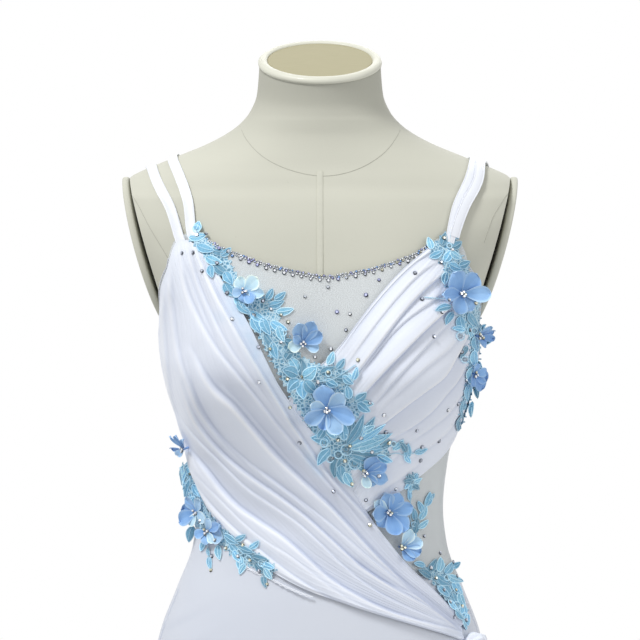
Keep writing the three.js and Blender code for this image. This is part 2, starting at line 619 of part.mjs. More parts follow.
// A flower is one cupped sheet with five petals on its own axis, drawn down to where it is sewn on
function flower({ name, around, height, radius, turn, right, up }) {
  const petals = 5;
  const columns = petals * 3;
  const shares = radius > 15 ? [0, 0.4, 0.75, 1] : [0, 0.6, 1];
  const lift = coverAt(around, height, radius * 0.7) + LACE_THICK + 1.4;
  const foot = onGarment(around, height, lift);
  const normal = outward(around, height);
  const aside = new THREE.Vector3(-normal.y, normal.x, 0).normalize();
  const above = new THREE.Vector3().crossVectors(normal, aside).normalize();
  const axis = normal.clone().addScaledVector(aside, Math.tan(rad(right)))
    .addScaledVector(above, Math.tan(rad(up))).normalize();
  const east = new THREE.Vector3().crossVectors(above, axis).normalize();
  const north = new THREE.Vector3().crossVectors(axis, east);
  const tilted = radius * Math.sin(axis.angleTo(normal)) * 0.9;
  foot.addScaledVector(normal, tilted);
  add(name, wall({
    rows: shares.length - 1,
    columns,
    round: true,
    pole: true,
    at: (row, column, side) => {
      if (row === 0 && side) return sewnPoint(around, height);
      const angle = (2 * Math.PI * (column + 0.5)) / columns;
      const share = shares[row];
      const tip = Math.abs(Math.cos((petals * angle) / 2)) ** 0.6;
      const far = radius * share * (share > 0.5 ? lerp(1, tip, 0.5 * share) : 1);
      const cup = radius * (0.3 * share ** 1.6 - 0.08 * share * (1 - tip));
      const spin = angle + rad(turn);
      return foot.clone().addScaledVector(east, far * Math.cos(spin))
        .addScaledVector(north, far * Math.sin(spin))
        .addScaledVector(axis, cup + (side ? 0 : PETAL_THICK));
    },
  }), 'petal');
}

// A strap is a flat band that follows the form
function strap({ name, out, path }) {
  const steps = 19;
  const route = path.map(([around, height]) => new THREE.Vector3(around, height, 0));
  const places = new THREE.CatmullRomCurve3(route).getPoints(steps);
  const centre = places.map((p) => garmentPoint(p.x, p.y));
  const rings = places.map((p, i) => {
    const normal = outward(p.x, p.y);
    const along = centre[Math.min(i + 1, steps)].clone().sub(centre[Math.max(i - 1, 0)]).normalize();
    const across = new THREE.Vector3().crossVectors(along, normal).normalize();
    const corner = (side, rise) => centre[i].clone().addScaledVector(across, (side * STRAP_WIDE) / 2)
      .addScaledVector(normal, rise);
    return [corner(-1, out), corner(1, out), corner(1, out + STRAP_THICK), corner(-1, out + STRAP_THICK)];
  });
  add(name, loft(rings), 'strap');
}

// The knot is a rounded roll with wrapped folds, turned so that the drape runs into its side
function knot() {
  const { around, height, wide, high, deep, out, wraps, swell } = KNOT;
  const [rows, columns] = [7, 15];
  const centre = onGarment(around, height, out);
  const normal = outward(around, height);
  const aside = new THREE.Vector3(-normal.y, normal.x, 0).normalize();
  const above = new THREE.Vector3().crossVectors(normal, aside);
  const rings = Array.from({ length: rows + 1 }, (_, i) => {
    const slant = Math.PI * lerp(0.1, 0.9, i / rows);
    return Array.from({ length: columns }, (__, j) => {
      const turn = (2 * Math.PI * j) / columns;
      const fat = Math.sin(slant) * (1 + swell * Math.cos(wraps * turn + 2 * slant));
      return centre.clone().addScaledVector(aside, wide * Math.cos(slant))
        .addScaledVector(above, high * fat * Math.sin(turn))
        .addScaledVector(normal, deep * fat * Math.cos(turn));
    });
  });
  add('hip_knot', loft(rings), 'cloth');
}

function tail({ name, top, bottom, topHalf, bottomHalf, from, to, waves }) {
  const [rows, columns] = [8, 9];
  add(name, wall({
    rows,
    columns,
    at: (row, column, side) => {
      const [along, across] = [row / rows, column / columns];
      const slant = 18 * (across - 0.5);
      const height = lerp(from, to - slant * 2, along ** 1.1);
      const around = lerp(top, bottom, along)
        + lerp(topHalf, bottomHalf, smooth(0, 1, along)) * (2 * across - 1);
      const wave = lerp(1.5, 5, along) * (0.5 - 0.5 * Math.cos(2 * Math.PI * waves * across));
      const rest = lerp(CLOTH_OUT + 1, DRAPE_IN + 1, smooth(0, 0.2, along));
      return onGarment(around, height, rest + wave + (side ? 0 : DRAPE_THICK));
    },
  }), 'cloth');
}

torso();
neckCap();
armPlate('form_arm_plate_left', -1);
armPlate('form_arm_plate_right', 1);
stand();
bodice();
skirt();
drape('bust_drape', BUST_GUIDES, bustOut, 11, 24);
drape('long_drape', LONG_GUIDES, longOut, 16, 26);
STRAPS.forEach(strap);
knot();
TAILS.forEach(tail);
LACE.forEach(laceMotif);
FLOWERS.forEach(flower);

export default group;
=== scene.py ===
"""The looks of a lyrical dance dress worn by a limbless dress form on a round stand.

Cloth is placed as it is pinned on a form: by an angle around the form, a height above the floor and a
distance out from the form's own surface. Tables are in millimetres, and the pieces are made in metres.
"""

import math

import bpy
import numpy as np
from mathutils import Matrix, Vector
from mathutils.bvhtree import BVHTree


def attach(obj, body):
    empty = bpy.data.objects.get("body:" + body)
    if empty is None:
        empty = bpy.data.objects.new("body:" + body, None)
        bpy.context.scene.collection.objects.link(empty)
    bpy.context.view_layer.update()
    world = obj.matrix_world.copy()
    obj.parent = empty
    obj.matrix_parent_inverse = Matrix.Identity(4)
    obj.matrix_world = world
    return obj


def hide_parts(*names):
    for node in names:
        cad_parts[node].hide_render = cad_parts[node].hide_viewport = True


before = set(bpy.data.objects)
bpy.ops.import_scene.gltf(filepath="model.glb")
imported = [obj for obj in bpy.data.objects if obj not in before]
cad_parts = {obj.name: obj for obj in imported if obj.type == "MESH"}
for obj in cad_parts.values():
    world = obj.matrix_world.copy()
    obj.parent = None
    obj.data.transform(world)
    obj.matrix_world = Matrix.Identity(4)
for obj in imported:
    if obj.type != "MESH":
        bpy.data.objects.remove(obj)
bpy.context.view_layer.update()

bl_info = {
    "name": "Lyrical dance dress",
    "version": (1, 0, 0),
    "blender": (4, 5, 0),
    "location": "3D View > Sidebar > Dress",
    "description": "Dresses the form and its stand in cloth, lace, flowers and stones",
    "category": "Object",
}

MM = 0.001
CLOTH_IN, CLOTH_OUT = 0.9, 2.0
DRAPE_IN, DRAPE_THICK, SEWN_EDGE = 3.3, 1.1, 0.8
SIDE = 89.88
HIP_HEIGHT, HEM_HEIGHT, NECK_TOP, NECK_TILT = 870, 350, 1496, 18

# The form: height, half width, middle in depth, front depth, back depth, squareness
FORM = [
    (790, 166, 0, 95, 112, 2.25), (870, 170, 0, 99, 121, 2.25), (935, 157, 0, 95, 110, 2.2),
    (980, 140, 0, 90, 96, 2.15), (1025, 123.5, 0, 83, 82, 2.1), (1062, 119.5, 0, 80, 77, 2.1),
    (1110, 124, 0, 87, 80, 2.15), (1150, 134, 0, 98, 85, 2.25), (1190, 145, 0, 108, 91, 2.35),
    (1217, 150, 0, 112, 95, 2.4), (1240, 152, 0, 112, 98, 2.4), (1265, 157.5, 0, 110, 100, 2.4),
    (1290, 172, 0, 107, 101, 2.35), (1320, 192, 0, 102, 100, 2.3), (1350, 204, 0, 96, 96, 2.2),
    (1368, 205, 0, 91, 93, 2.1), (1380, 197, 0, 86, 90, 2), (1390, 180, -1, 82, 88, 2),
    (1400, 157, -2, 78, 86, 2), (1410, 132, -3, 75, 84, 2), (1419, 110, -4, 72, 81, 2),
    (1429, 91, -5, 69, 77, 2), (1438, 78.4, -7, 66.5, 73, 2), (1450, 68, -9, 63.5, 67, 2),
    (1467, 61, -12, 60, 61, 2), (1500, 58, -18, 58, 58, 2),
]
BUST = {"side": 94, "height": 1212, "deep": 28, "wide": 42, "above": 58, "below": 38}
INSET = {"cloth": 1.6, "shoulder": 0.2, "from": 1300, "to": 1345}
# The skirt: as the form's rows, with the depth of its flutes
SKIRT = [
    (350, 262, 0, 216, 224, 2, 24), (470, 239, 0, 190, 199, 2, 18), (580, 217, 0, 164, 175, 2, 12),
    (680, 197, 0, 138, 151, 2.05, 6.5), (760, 182, 0, 117, 134, 2.12, 2.5),
    (820, 173, 0, 105, 125, 2.2, 0.6), (870, 170, 0, 99, 121, 2.25, 0), (935, 157, 0, 95, 110, 2.2, 0),
]
FLUTES = [(12, 0.72, 20), (7, 0.28, 75)]
SEAM_MIDDLE, SEAM_SLOPE = 1046, 56

FRONT_TOP = [
    (-90, 1234), (-71, 1269), (-48, 1307), (-41, 1331), (-36, 1337), (-32, 1342), (-30, 1334),
    (-24, 1324), (-12, 1310), (1, 1299), (12, 1306), (24, 1319), (30, 1332), (34, 1337), (38, 1333),
    (46, 1307), (71, 1270), (90, 1234),
]
BACK_TOP = [(90, 1234), (110, 1224), (135, 1213), (160, 1207), (180, 1205)]

# Each row follows one pleat of a drape, as five places of angle and height
LONG_GUIDES = np.array([
    [(-31, 1323), (-22, 1261), (-6, 1172), (23, 1063), (63, 956)],
    [(-33, 1327), (-28, 1249), (-10, 1157), (18, 1054), (62, 954)],
    [(-36, 1331), (-34, 1234), (-16, 1141), (14, 1045), (61, 952)],
    [(-40, 1329), (-42, 1218), (-22, 1126), (9, 1036), (61, 949)],
    [(-49, 1303), (-52, 1194), (-29, 1110), (5, 1028), (60, 947)],
    [(-70, 1266), (-66, 1170), (-37, 1094), (1, 1019), (59, 945)],
    [(-SIDE, 1222), (-78, 1140), (-47, 1077), (-3, 1010), (59, 942)],
    [(-SIDE, 1125), (-74, 1092), (-54, 1058), (-8, 1001), (58, 940)],
], float)
BUST_GUIDES = np.array([
    [(28.5, 1326), (22, 1307), (15, 1279), (3, 1229), (-11, 1180)],
    [(36, 1324), (29, 1290), (19, 1258), (8, 1216), (-5, 1156)],
    [(45, 1302), (38, 1260), (24, 1231), (12, 1193), (-1, 1126)],
    [(68, 1266), (50, 1232), (31, 1205), (19, 1162), (6, 1094)],
    [(SIDE, 1215), (62, 1192), (42, 1168), (27, 1133), (11, 1081)],
    [(SIDE, 1148), (70, 1125), (52, 1108), (38, 1092), (17, 1068)],
], float)
# Creases as they run in the picture, across and down: their places, then height of the crest beside them,
# how steeply it rises, how far it reaches, depth of the hollow and how far that reaches on the other side
LONG_CREASES = [
    ([(197, 245), (207, 268), (222, 300), (238, 330), (257, 364), (283, 405), (308, 443), (332, 476),
     (362, 510), (396, 546), (430, 583), (456, 620)], 2.6, 2.0, 7, 0.7, 9),
    ([(191, 248), (200, 281), (213, 312), (230, 345), (248, 372), (268, 398)], 1.5, 2.0, 8, 0.5, 7),
    ([(183, 255), (190, 289), (204, 322), (220, 350), (236, 370), (256, 394), (280, 424), (306, 455),
     (334, 488), (362, 522)], 1.9, 2.2, 13, 0.7, 12),
    ([(196, 352), (214, 384), (236, 405), (253, 425), (276, 452), (299, 475), (330, 504), (353, 529),
     (376, 554), (400, 578), (424, 600), (448, 620)], 3.4, 2.6, 26, 2.3, 24),
    ([(190, 362), (204, 410), (221, 434), (248, 459), (276, 480), (310, 506), (334, 526), (358, 548),
     (384, 570), (410, 591), (450, 622)], 1.2, 1.4, 12, 0.7, 14),
    ([(187, 385), (203, 424), (223, 450), (247, 471), (282, 496), (306, 515), (330, 537), (357, 562),
     (391, 587), (422, 604), (452, 624)], 2.4, 1.8, 15, 1.5, 12),
    ([(180, 412), (198, 434), (216, 453), (230, 468), (248, 486), (272, 503), (296, 520), (318, 540),
     (340, 562), (366, 584), (400, 604), (454, 627)], 1.1, 1.4, 10, 0.8, 13),
    ([(186, 440), (208, 468), (226, 491), (241, 506), (262, 521), (284, 536), (308, 557), (330, 577),
     (360, 596), (391, 611), (425, 622), (458, 631)], 3.0, 2.2, 20, 1.9, 18),
    ([(192, 464), (210, 484), (230, 505), (248, 524), (268, 541), (292, 556), (318, 577), (346, 597),
     (380, 614), (420, 627), (458, 634)], 0.8, 1.4, 8, 0.5, 10),
    ([(199, 482), (218, 508), (243, 534), (268, 555), (298, 578), (335, 601), (372, 618), (410, 629),
     (455, 636)], 1.6, 1.8, 8, 0.8, 7),
    ([(173, 268), (176, 310), (182, 352), (194, 384), (208, 416), (224, 440), (244, 460)], 1.3, 2.4, 10,
     0.7, 8),
    ([(167, 290), (169, 345), (175, 396), (184, 430), (198, 460), (214, 482)], 1.2, 2.4, 8, 0.6, 7),
    ([(186, 262), (200, 300), (216, 338)], 1.0, 2.0, 7, 0.4, 6),
    ([(222, 384), (240, 402), (266, 432), (292, 462)], 0.7, 1.6, 7, 0.5, 6),
    ([(262, 470), (290, 492), (318, 516)], 0.6, 1.4, 6, 0.5, 5),
    ([(350, 560), (384, 582), (420, 598), (448, 618)], 1.2, 1.4, 7, 0.8, 6),
]
BUST_CREASES = [
    ([(431, 246), (409, 262), (385, 286), (362, 316), (343, 344), (336, 353)], 1.6, 1.2, 5, 0.6, 5),
    ([(436, 250), (417, 262), (393, 285), (366, 317), (345, 346)], 1.5, 1.2, 6, 0.7, 5),
    ([(438, 262), (420, 275), (397, 300), (372, 332), (350, 362)], 1.2, 1.4, 6, 0.5, 5),
    ([(446, 272), (424, 291), (405, 312), (386, 337), (364, 366), (350, 382)], 2.4, 1.3, 11, 1.2, 8),
    ([(448, 290), (430, 303), (407, 321), (388, 340), (369, 364), (354, 384)], 1.3, 1.2, 7, 0.8, 6),
    ([(456, 303), (443, 314), (424, 332), (398, 359), (369, 389), (356, 404)], 3.0, 1.3, 13, 1.8, 11),
    ([(460, 312), (446, 326), (428, 345), (408, 367), (388, 388), (368, 410)], 1.2, 1.4, 8, 0.7, 8),
    ([(466, 338), (455, 357), (443, 376), (424, 391), (407, 404), (386, 421), (368, 436)], 3.1, 1.3, 14,
     2.0, 14),
    ([(462, 330), (446, 350), (424, 369), (402, 388), (384, 406)], 0.9, 1.6, 7, 0.5, 7),
    ([(466, 366), (456, 382), (446, 394), (431, 411), (412, 426), (392, 438)], 1.8, 1.6, 12, 1.2, 12),
    ([(463, 392), (449, 412), (430, 428), (410, 442)], 1.3, 1.8, 9, 0.8, 9),
    ([(460, 412), (446, 432), (424, 450), (402, 462)], 0.9, 2.0, 8, 0.6, 8),
    ([(470, 352), (462, 372), (450, 392)], 1.0, 1.6, 6, 0.6, 6),
    ([(400, 452), (382, 468), (366, 480)], 0.8, 2.0, 8, 0.5, 8),
    ([(420, 462), (400, 478), (380, 492)], 0.7, 2.0, 8, 0.5, 8),
]
# Where lace shows blue through the long drape: across, down, length, width, lean and strength
SHOW_THROUGH = [
    (232, 305, 22, 7, -60, 0.3), (248, 336, 26, 8, -60, 0.42), (266, 372, 26, 7, -59, 0.3),
    (288, 408, 24, 6, -57, 0.18), (219, 317, 7, 5, -50, 0.22), (310, 458, 13, 5, -62, 0.42),
    (318, 470, 9, 4, -50, 0.25),
]
# How far the long drape's upper edge stands over the other, fading between two shares across it
LONG_LIFT = (2.6, 0.15, 0.32)
HIGHEST_FOLD = 5.0
# Folds of the skirt as it hangs: angle, half width, height at the hem and the level where each dies out
SKIRT_FOLDS = [
    (-68, 9, 5.5, 700), (-41, 7, 3.8, 610), (-22, 11, 6, 760), (6, 8, 4.2, 650), (27, 6, 3, 560),
    (49, 10, 5.2, 720), (74, 7, 3.2, 590), (104, 8, 4.6, 640), (121, 6, 3.1, 560), (143, 11, 5.8, 740),
    (171, 8, 4, 620), (190, 7, 3.4, 580), (214, 12, 6.2, 780), (233, 6, 2.8, 540), (255, 9, 4.8, 690),
]
# Soft drag lines over waist and hips: angle, height, spread in degrees, climb a degree, height of the ridge
DRAG_LINES = [
    (150, 1087, 22, 0.5, 1.1), (199, 1073, 30, -0.4, 1.3), (126, 1114, 15, 0.8, 0.9),
    (231, 1121, 17, -0.9, 0.8), (176, 1050, 33, 0.12, 1.0), (160, 1032, 20, 0.3, 0.8),
    (215, 1019, 24, -0.5, 1.1), (120, 985, 17, 0.9, 0.9), (241, 968, 18, -1.0, 1.0),
    (185, 948, 28, 0.2, 0.6), (-64, 962, 14, 0.9, 0.7), (-52, 940, 12, 1.1, 0.5),
    (66, 902, 12, -1.1, 0.8), (52, 884, 16, -0.8, 0.6),
]

# Straps from the bodice over the shoulder to the back: distance out, then places of angle and height
STRAPS = {
    "strap_left_outer": (0.9, [(-38.0, 1327), (-38.7, 1335.2), (-42, 1361), (-50, 1379), (-72, 1395),
        (-92, 1397), (-112, 1391), (-130, 1370), (-139, 1330), (-142, 1270), (-143, 1213)]),
    "strap_left_inner": (0.9, [(-33.4, 1332), (-34, 1341.1), (-36, 1367), (-45, 1387), (-70, 1403),
        (-92, 1406), (-114, 1401), (-136, 1380), (-147, 1330), (-152, 1270), (-154, 1211)]),
    "strap_right_under": (0.9, [(34.6, 1329), (35, 1337.8), (37.5, 1362), (47, 1384), (71, 1400.5),
        (92, 1403), (114, 1398), (136, 1377), (147, 1330), (152, 1270), (154, 1211)]),
    "strap_right_over": (2.4, [(36.2, 1334), (36.5, 1341), (40, 1362), (49.4, 1382), (72, 1398.5),
        (92, 1400.5), (112, 1393), (130, 1371), (139, 1330), (142, 1270), (143, 1217)]),
}
STRAP_WIDE, STRAP_THICK = 10, 1.2

# Flowers: place in the picture, how far the face turns to the camera, then the petals: direction in the
# picture, length, width and tone, which is 0 plain, 1 pale and -1 deep
FLOWERS = {
    "flower_neck": ((244, 291), 0.3, [(122, 14, 13, 1), (40, 18, 15, 1), (-14, 20, 11, 0.6),
        (-50, 15, 12, 0), (-95, 11, 11, 0), (190, 12, 10, 0.3)]),
    "flower_chest": ((303, 344), 0.3, [(108, 21, 15, 0.2), (64, 24, 15, 0), (28, 21, 14, 0),
        (-14, 16, 11, 0.4), (198, 15, 12, 1), (150, 12, 9, 0.1)]),
    "flower_middle": ((327, 409.5), 0.2, [(98, 25, 21, 0), (38, 23, 17, 0.35), (-6, 28, 18, 0),
        (-62, 25, 17, 0.3), (-106, 19, 13, 0), (-152, 23, 16, 0.15), (164, 17, 14, 0.5)]),
    "flower_waist_small": ((365, 473), 0.3, [(62, 20, 16, 0), (24, 23, 13, -0.5), (-14, 23, 14, 0),
        (-88, 14, 10, 0.9), (-48, 15, 11, 0.3)]),
    "flower_waist": ((389, 512), 0.3, [(108, 21, 16, 0.1), (146, 20, 12, 0.6), (62, 22, 16, 0),
        (16, 23, 15, 0), (-36, 24, 17, 0), (-80, 22, 17, -0.2), (-126, 18, 15, -0.1), (182, 18, 17, 0)]),
    "flower_hip": ((402, 547), 0.3, [(62, 19, 13, 0.7), (24, 20, 14, 0.5), (-20, 19, 14, 0),
        (-58, 17, 12, -0.3)]),
    "flower_bust": ((462, 294), 0.45, [(126, 24, 21, 0), (52, 24, 20, 0), (2, 25, 16, 0.15),
        (-54, 19, 15, 0.1), (-108, 20, 17, 0), (176, 23, 14, -0.2)]),
    "flower_arm": ((478, 336), 0.25, [(48, 14, 6, 0.3), (16, 15, 6, 0), (-14, 14, 7, -0.3),
        (-60, 12, 8, 0)]),
    "flower_side": ((474, 374), 0.3, [(-22, 15, 14, -0.5), (-66, 17, 15, -0.5), (20, 12, 10, 0),
        (-112, 13, 10, -0.4), (84, 11, 8, 0)]),
    "flower_left_side": ((184, 449), 0.2, [(128, 17, 6, 0), (106, 16, 6, -0.3), (186, 17, 5, -0.6),
        (84, 12, 7, 0), (236, 12, 8, 0.2)]),
    "flower_left_waist": ((196, 512), 0.4, [(164, 13, 13, 0), (214, 16, 16, -0.1), (256, 15, 11, 0.8),
        (122, 16, 11, 0.1), (62, 15, 11, 0.4), (-22, 16, 11, 0.6)]),
    "flower_left_hip": ((207, 531), 0.35, [(-16, 20, 17, 0.3), (26, 20, 11, -0.2), (-52, 15, 9, 0.8),
        (-92, 14, 11, 0.1), (66, 14, 10, 0.4), (205, 12, 10, 0)]),
}

# Lace: the solids a length of lace stands for, the outline of its ground, its leaves as place of the foot,
# length, width and direction, its eyelets as place and radius, and its stems, all in the picture
LACE_LENGTHS = {
    "lace_neckline": (
        ["lace_strap_left", "lace_neck_left", "lace_neck_low", "lace_chest_upper", "lace_chest_lower",
         "lace_chest_star", "lace_bud_upper", "lace_bud_lower", "lace_fan"],
        [(187, 237), (196, 227), (206, 236), (222, 248), (230, 258), (238, 276), (256, 292), (274, 300),
         (282, 308), (282, 318), (278, 326), (290, 338), (296, 350), (310, 360), (325, 364), (344, 362),
         (352, 376), (350, 392), (362, 392), (372, 402), (362, 410), (356, 420), (372, 424), (388, 442),
         (388, 454), (376, 462), (360, 460), (352, 470), (348, 482), (338, 474), (322, 448), (300, 412),
         (282, 384), (262, 346), (248, 318), (232, 292), (214, 268), (200, 250)],
        [(190, 238, 17, 9, 12), (196, 231, 10, 8, 70), (199, 246, 17, 9, -18), (212, 250, 15, 8, -10),
         (221, 256, 13, 7, 38), (208, 258, 16, 9, -20), (216, 266, 17, 9, -35), (226, 272, 15, 9, -60),
         (213, 266, 13, 7, -80), (226, 284, 17, 9, -55), (238, 294, 18, 9, -70), (238, 304, 17, 8, -40),
         (268, 306, 17, 8, 18), (274, 300, 14, 7, 34), (266, 300, 13, 7, 60), (276, 312, 18, 8, 10),
         (250, 312, 19, 9, -30), (262, 318, 19, 10, -65), (252, 318, 18, 9, -62), (270, 322, 19, 9, -25),
         (278, 326, 17, 8, -70), (264, 334, 19, 9, -48), (272, 342, 18, 9, -74), (284, 340, 17, 8, -20),
         (301, 376, 18, 11, 92), (302, 377, 18, 12, 36), (304, 379, 18, 12, -42), (302, 380, 17, 12, -86),
         (299, 379, 16, 11, -140), (298, 375, 17, 12, 160), (298, 372, 18, 11, 122),
         (284, 360, 17, 9, 60), (286, 352, 17, 8, 30), (320, 372, 16, 9, 20), (326, 378, 14, 8, -24),
         (328, 364, 14, 8, 66), (337, 368, 13, 7, 50), (336, 376, 14, 8, 4), (344, 374, 13, 7, -36),
         (347, 386, 14, 6, 84), (353, 380, 9, 5, 110), (354, 378, 13, 6, 68), (356, 398, 14, 9, 36),
         (358, 400, 15, 9, -34), (350, 396, 13, 8, 100), (362, 400, 12, 6, -5), (345, 441, 30, 8, 74),
         (346, 442, 36, 9, 60), (347, 443, 41, 9, 47), (348, 444, 44, 9, 34), (349, 446, 45, 9, 21),
         (349, 448, 44, 8, 9), (349, 450, 40, 8, -3), (348, 452, 34, 8, -15), (346, 453, 27, 8, -30),
         (362, 428, 14, 7, 30), (372, 436, 14, 6, 18), (366, 446, 15, 6, 30), (360, 434, 13, 6, 70),
         (344, 438, 24, 11, 104), (336, 436, 22, 11, 130), (330, 440, 20, 10, 164),
         (330, 446, 20, 10, -128), (338, 454, 22, 11, -100), (340, 462, 20, 10, -80),
         (344, 470, 17, 9, -60), (356, 460, 18, 9, -30), (368, 456, 17, 8, 14), (376, 452, 16, 8, -24),
         (380, 446, 13, 7, 46), (310, 424, 14, 8, 80), (318, 436, 14, 8, 60)],
        [(197, 229, 3.6), (329, 372, 3.0), (346, 447, 5.5), (354, 461, 6.0), (338, 452, 4.0),
         (362, 446, 3.6), (324, 440, 4.0), (344, 434, 3.4), (330, 456, 3.4), (283, 333, 3.0),
         (262, 325, 3.2), (246, 306, 3.0)],
        [[(240, 290), (252, 308), (262, 326), (276, 346), (290, 366), (301, 378)], [(318, 380),
         (332, 378), (344, 372), (357, 364)], [(346, 442), (356, 424), (366, 424)], [(302, 378),
         (312, 396), (320, 410)], [(344, 450), (336, 462), (342, 478)]]),
    "lace_waist": (
        ["lace_sprig", "lace_rosette", "lace_twig"],
        [(402, 478), (405, 472), (412, 470), (420, 475), (421, 483), (416, 490), (408, 492), (402, 487)],
        [(391, 447, 15, 6, 42), (403, 456, 16, 7, 78), (404, 449, 12, 6, 120), (412, 450, 13, 6, 18),
         (403, 452, 10, 5, -60), (411, 481, 10, 6, 20), (411, 481, 10, 6, 70), (411, 481, 10, 6, 120),
         (411, 481, 10, 6, 168), (411, 482, 10, 6, 216), (411, 482, 10, 6, 262), (411, 482, 10, 6, 318),
         (409, 500, 12, 4, 96), (425, 506, 15, 7, 74), (421, 512, 12, 6, 110), (419, 520, 18, 7, 70),
         (414, 520, 13, 6, 100), (413, 534, 17, 7, 80), (409, 536, 14, 6, 108), (410, 542, 12, 6, 70),
         (417, 528, 13, 6, 40), (426, 500, 10, 5, 40)],
        [(411, 481, 3.0), (392, 441, 2.6), (413, 524, 2.4)],
        [[(386, 452), (394, 450), (402, 452), (411, 450), (420, 446)], [(411, 490), (410, 500),
         (409, 512), (411, 526), (411, 542)], [(411, 540), (415, 524), (422, 508), (431, 498)]]),
    "lace_bust": (
        ["lace_strap_right", "lace_bust_upper", "lace_bust_side", "lace_bust_low", "lace_armhole"],
        [(427, 244), (436, 240), (446, 231), (458, 236), (458, 250), (467, 262), (474, 280), (482, 300),
         (480, 320), (478, 344), (473, 376), (466, 404), (457, 431), (452, 430), (458, 400), (464, 372),
         (466, 345), (458, 326), (450, 306), (442, 284), (440, 266), (430, 258)],
        [(430, 250, 13, 7, 100), (428, 258, 15, 7, 28), (440, 246, 14, 8, 70), (448, 246, 14, 8, 84),
         (450, 248, 13, 8, 30), (448, 252, 13, 8, -30), (442, 262, 13, 8, 60), (446, 264, 15, 8, -20),
         (456, 266, 14, 8, 20), (452, 270, 14, 8, -60), (444, 272, 13, 7, -100), (446, 306, 16, 7, 200),
         (450, 312, 15, 7, -120), (456, 316, 16, 8, -80), (464, 312, 17, 8, -60), (468, 322, 16, 8, -95),
         (470, 336, 16, 7, -80), (460, 330, 12, 6, 170), (464, 346, 14, 7, -120), (470, 350, 17, 7, -85),
         (468, 366, 18, 7, -95), (474, 360, 16, 6, -78), (466, 382, 19, 7, -98), (472, 380, 17, 6, -88),
         (463, 398, 19, 7, -104), (468, 400, 16, 5, -96), (458, 414, 16, 6, -106), (476, 342, 12, 5, 10),
         (474, 330, 12, 5, 30)],
        [(455, 336, 4.0), (448, 246, 2.6), (461, 359, 3.2), (469, 330, 3.0)],
        [[(462, 296), (450, 297), (436, 299), (422, 298)], [(466, 318), (470, 340), (468, 366),
         (462, 392), (454, 424)]]),
    "lace_hip": (
        ["lace_hip_upper", "lace_hip_lower"],
        [(417, 562), (428, 566), (438, 560), (448, 566), (458, 582), (464, 598), (469, 614), (467, 627),
         (461, 622), (450, 608), (438, 594), (426, 578)],
        [(438, 572, 15, 8, 84), (444, 574, 14, 8, 56), (430, 578, 16, 8, 150), (428, 572, 15, 8, 60),
         (434, 576, 18, 9, -30), (446, 576, 17, 8, -20), (442, 584, 18, 9, -54), (452, 580, 18, 8, -58),
         (436, 586, 16, 8, -40), (450, 592, 18, 9, -62), (458, 592, 17, 7, -70), (446, 600, 16, 8, -48),
         (456, 604, 18, 8, -66), (462, 604, 16, 7, -78), (452, 610, 15, 7, -50), (460, 616, 15, 7, -66),
         (466, 614, 12, 6, -84), (424, 566, 12, 6, 168), (450, 568, 11, 6, 30)],
        [(440, 590, 4.0), (455, 606, 4.0), (446, 578, 3.0), (463, 616, 3.0)],
        [[(420, 564), (434, 578), (446, 594), (458, 610), (466, 626)]]),
    "lace_left": (
        ["lace_left_side", "lace_left_hip", "lace_edge_upper", "lace_edge_lower"],
        [(178, 454), (189, 460), (196, 474), (203, 492), (210, 508), (224, 524), (238, 536), (252, 548),
         (266, 556), (278, 564), (278, 573), (268, 577), (256, 570), (244, 566), (234, 558), (222, 548),
         (206, 536), (192, 522), (186, 500), (182, 478)],
        [(184, 458, 14, 7, 250), (186, 466, 15, 8, -70), (190, 476, 16, 8, -100), (194, 484, 15, 7, -60),
         (182, 470, 13, 6, 210), (196, 496, 14, 7, -110), (194, 526, 17, 9, -104),
         (206, 541, 11, 5, -112), (209, 548, 9, 3, -80), (210, 556, 14, 5, -84), (219, 545, 15, 7, -84),
         (226, 534, 18, 9, -30), (230, 542, 17, 8, -44), (234, 550, 15, 7, -56), (240, 546, 17, 8, -20),
         (242, 556, 15, 8, -96), (246, 552, 17, 8, -34), (254, 556, 16, 8, -10), (256, 562, 15, 8, -50),
         (262, 562, 15, 8, -22), (266, 568, 13, 7, -60), (264, 574, 14, 6, -82), (252, 548, 12, 6, 40),
         (238, 540, 12, 6, 30), (222, 530, 13, 6, -80), (246, 564, 12, 6, -120)],
        [(188, 476, 4.0), (263, 563, 3.4), (241, 552, 3.0), (250, 558, 3.0)],
        [[(184, 458), (190, 478), (196, 498)], [(208, 536), (209, 548), (211, 562)], [(222, 528),
         (236, 544), (252, 556), (268, 566)]]),
}

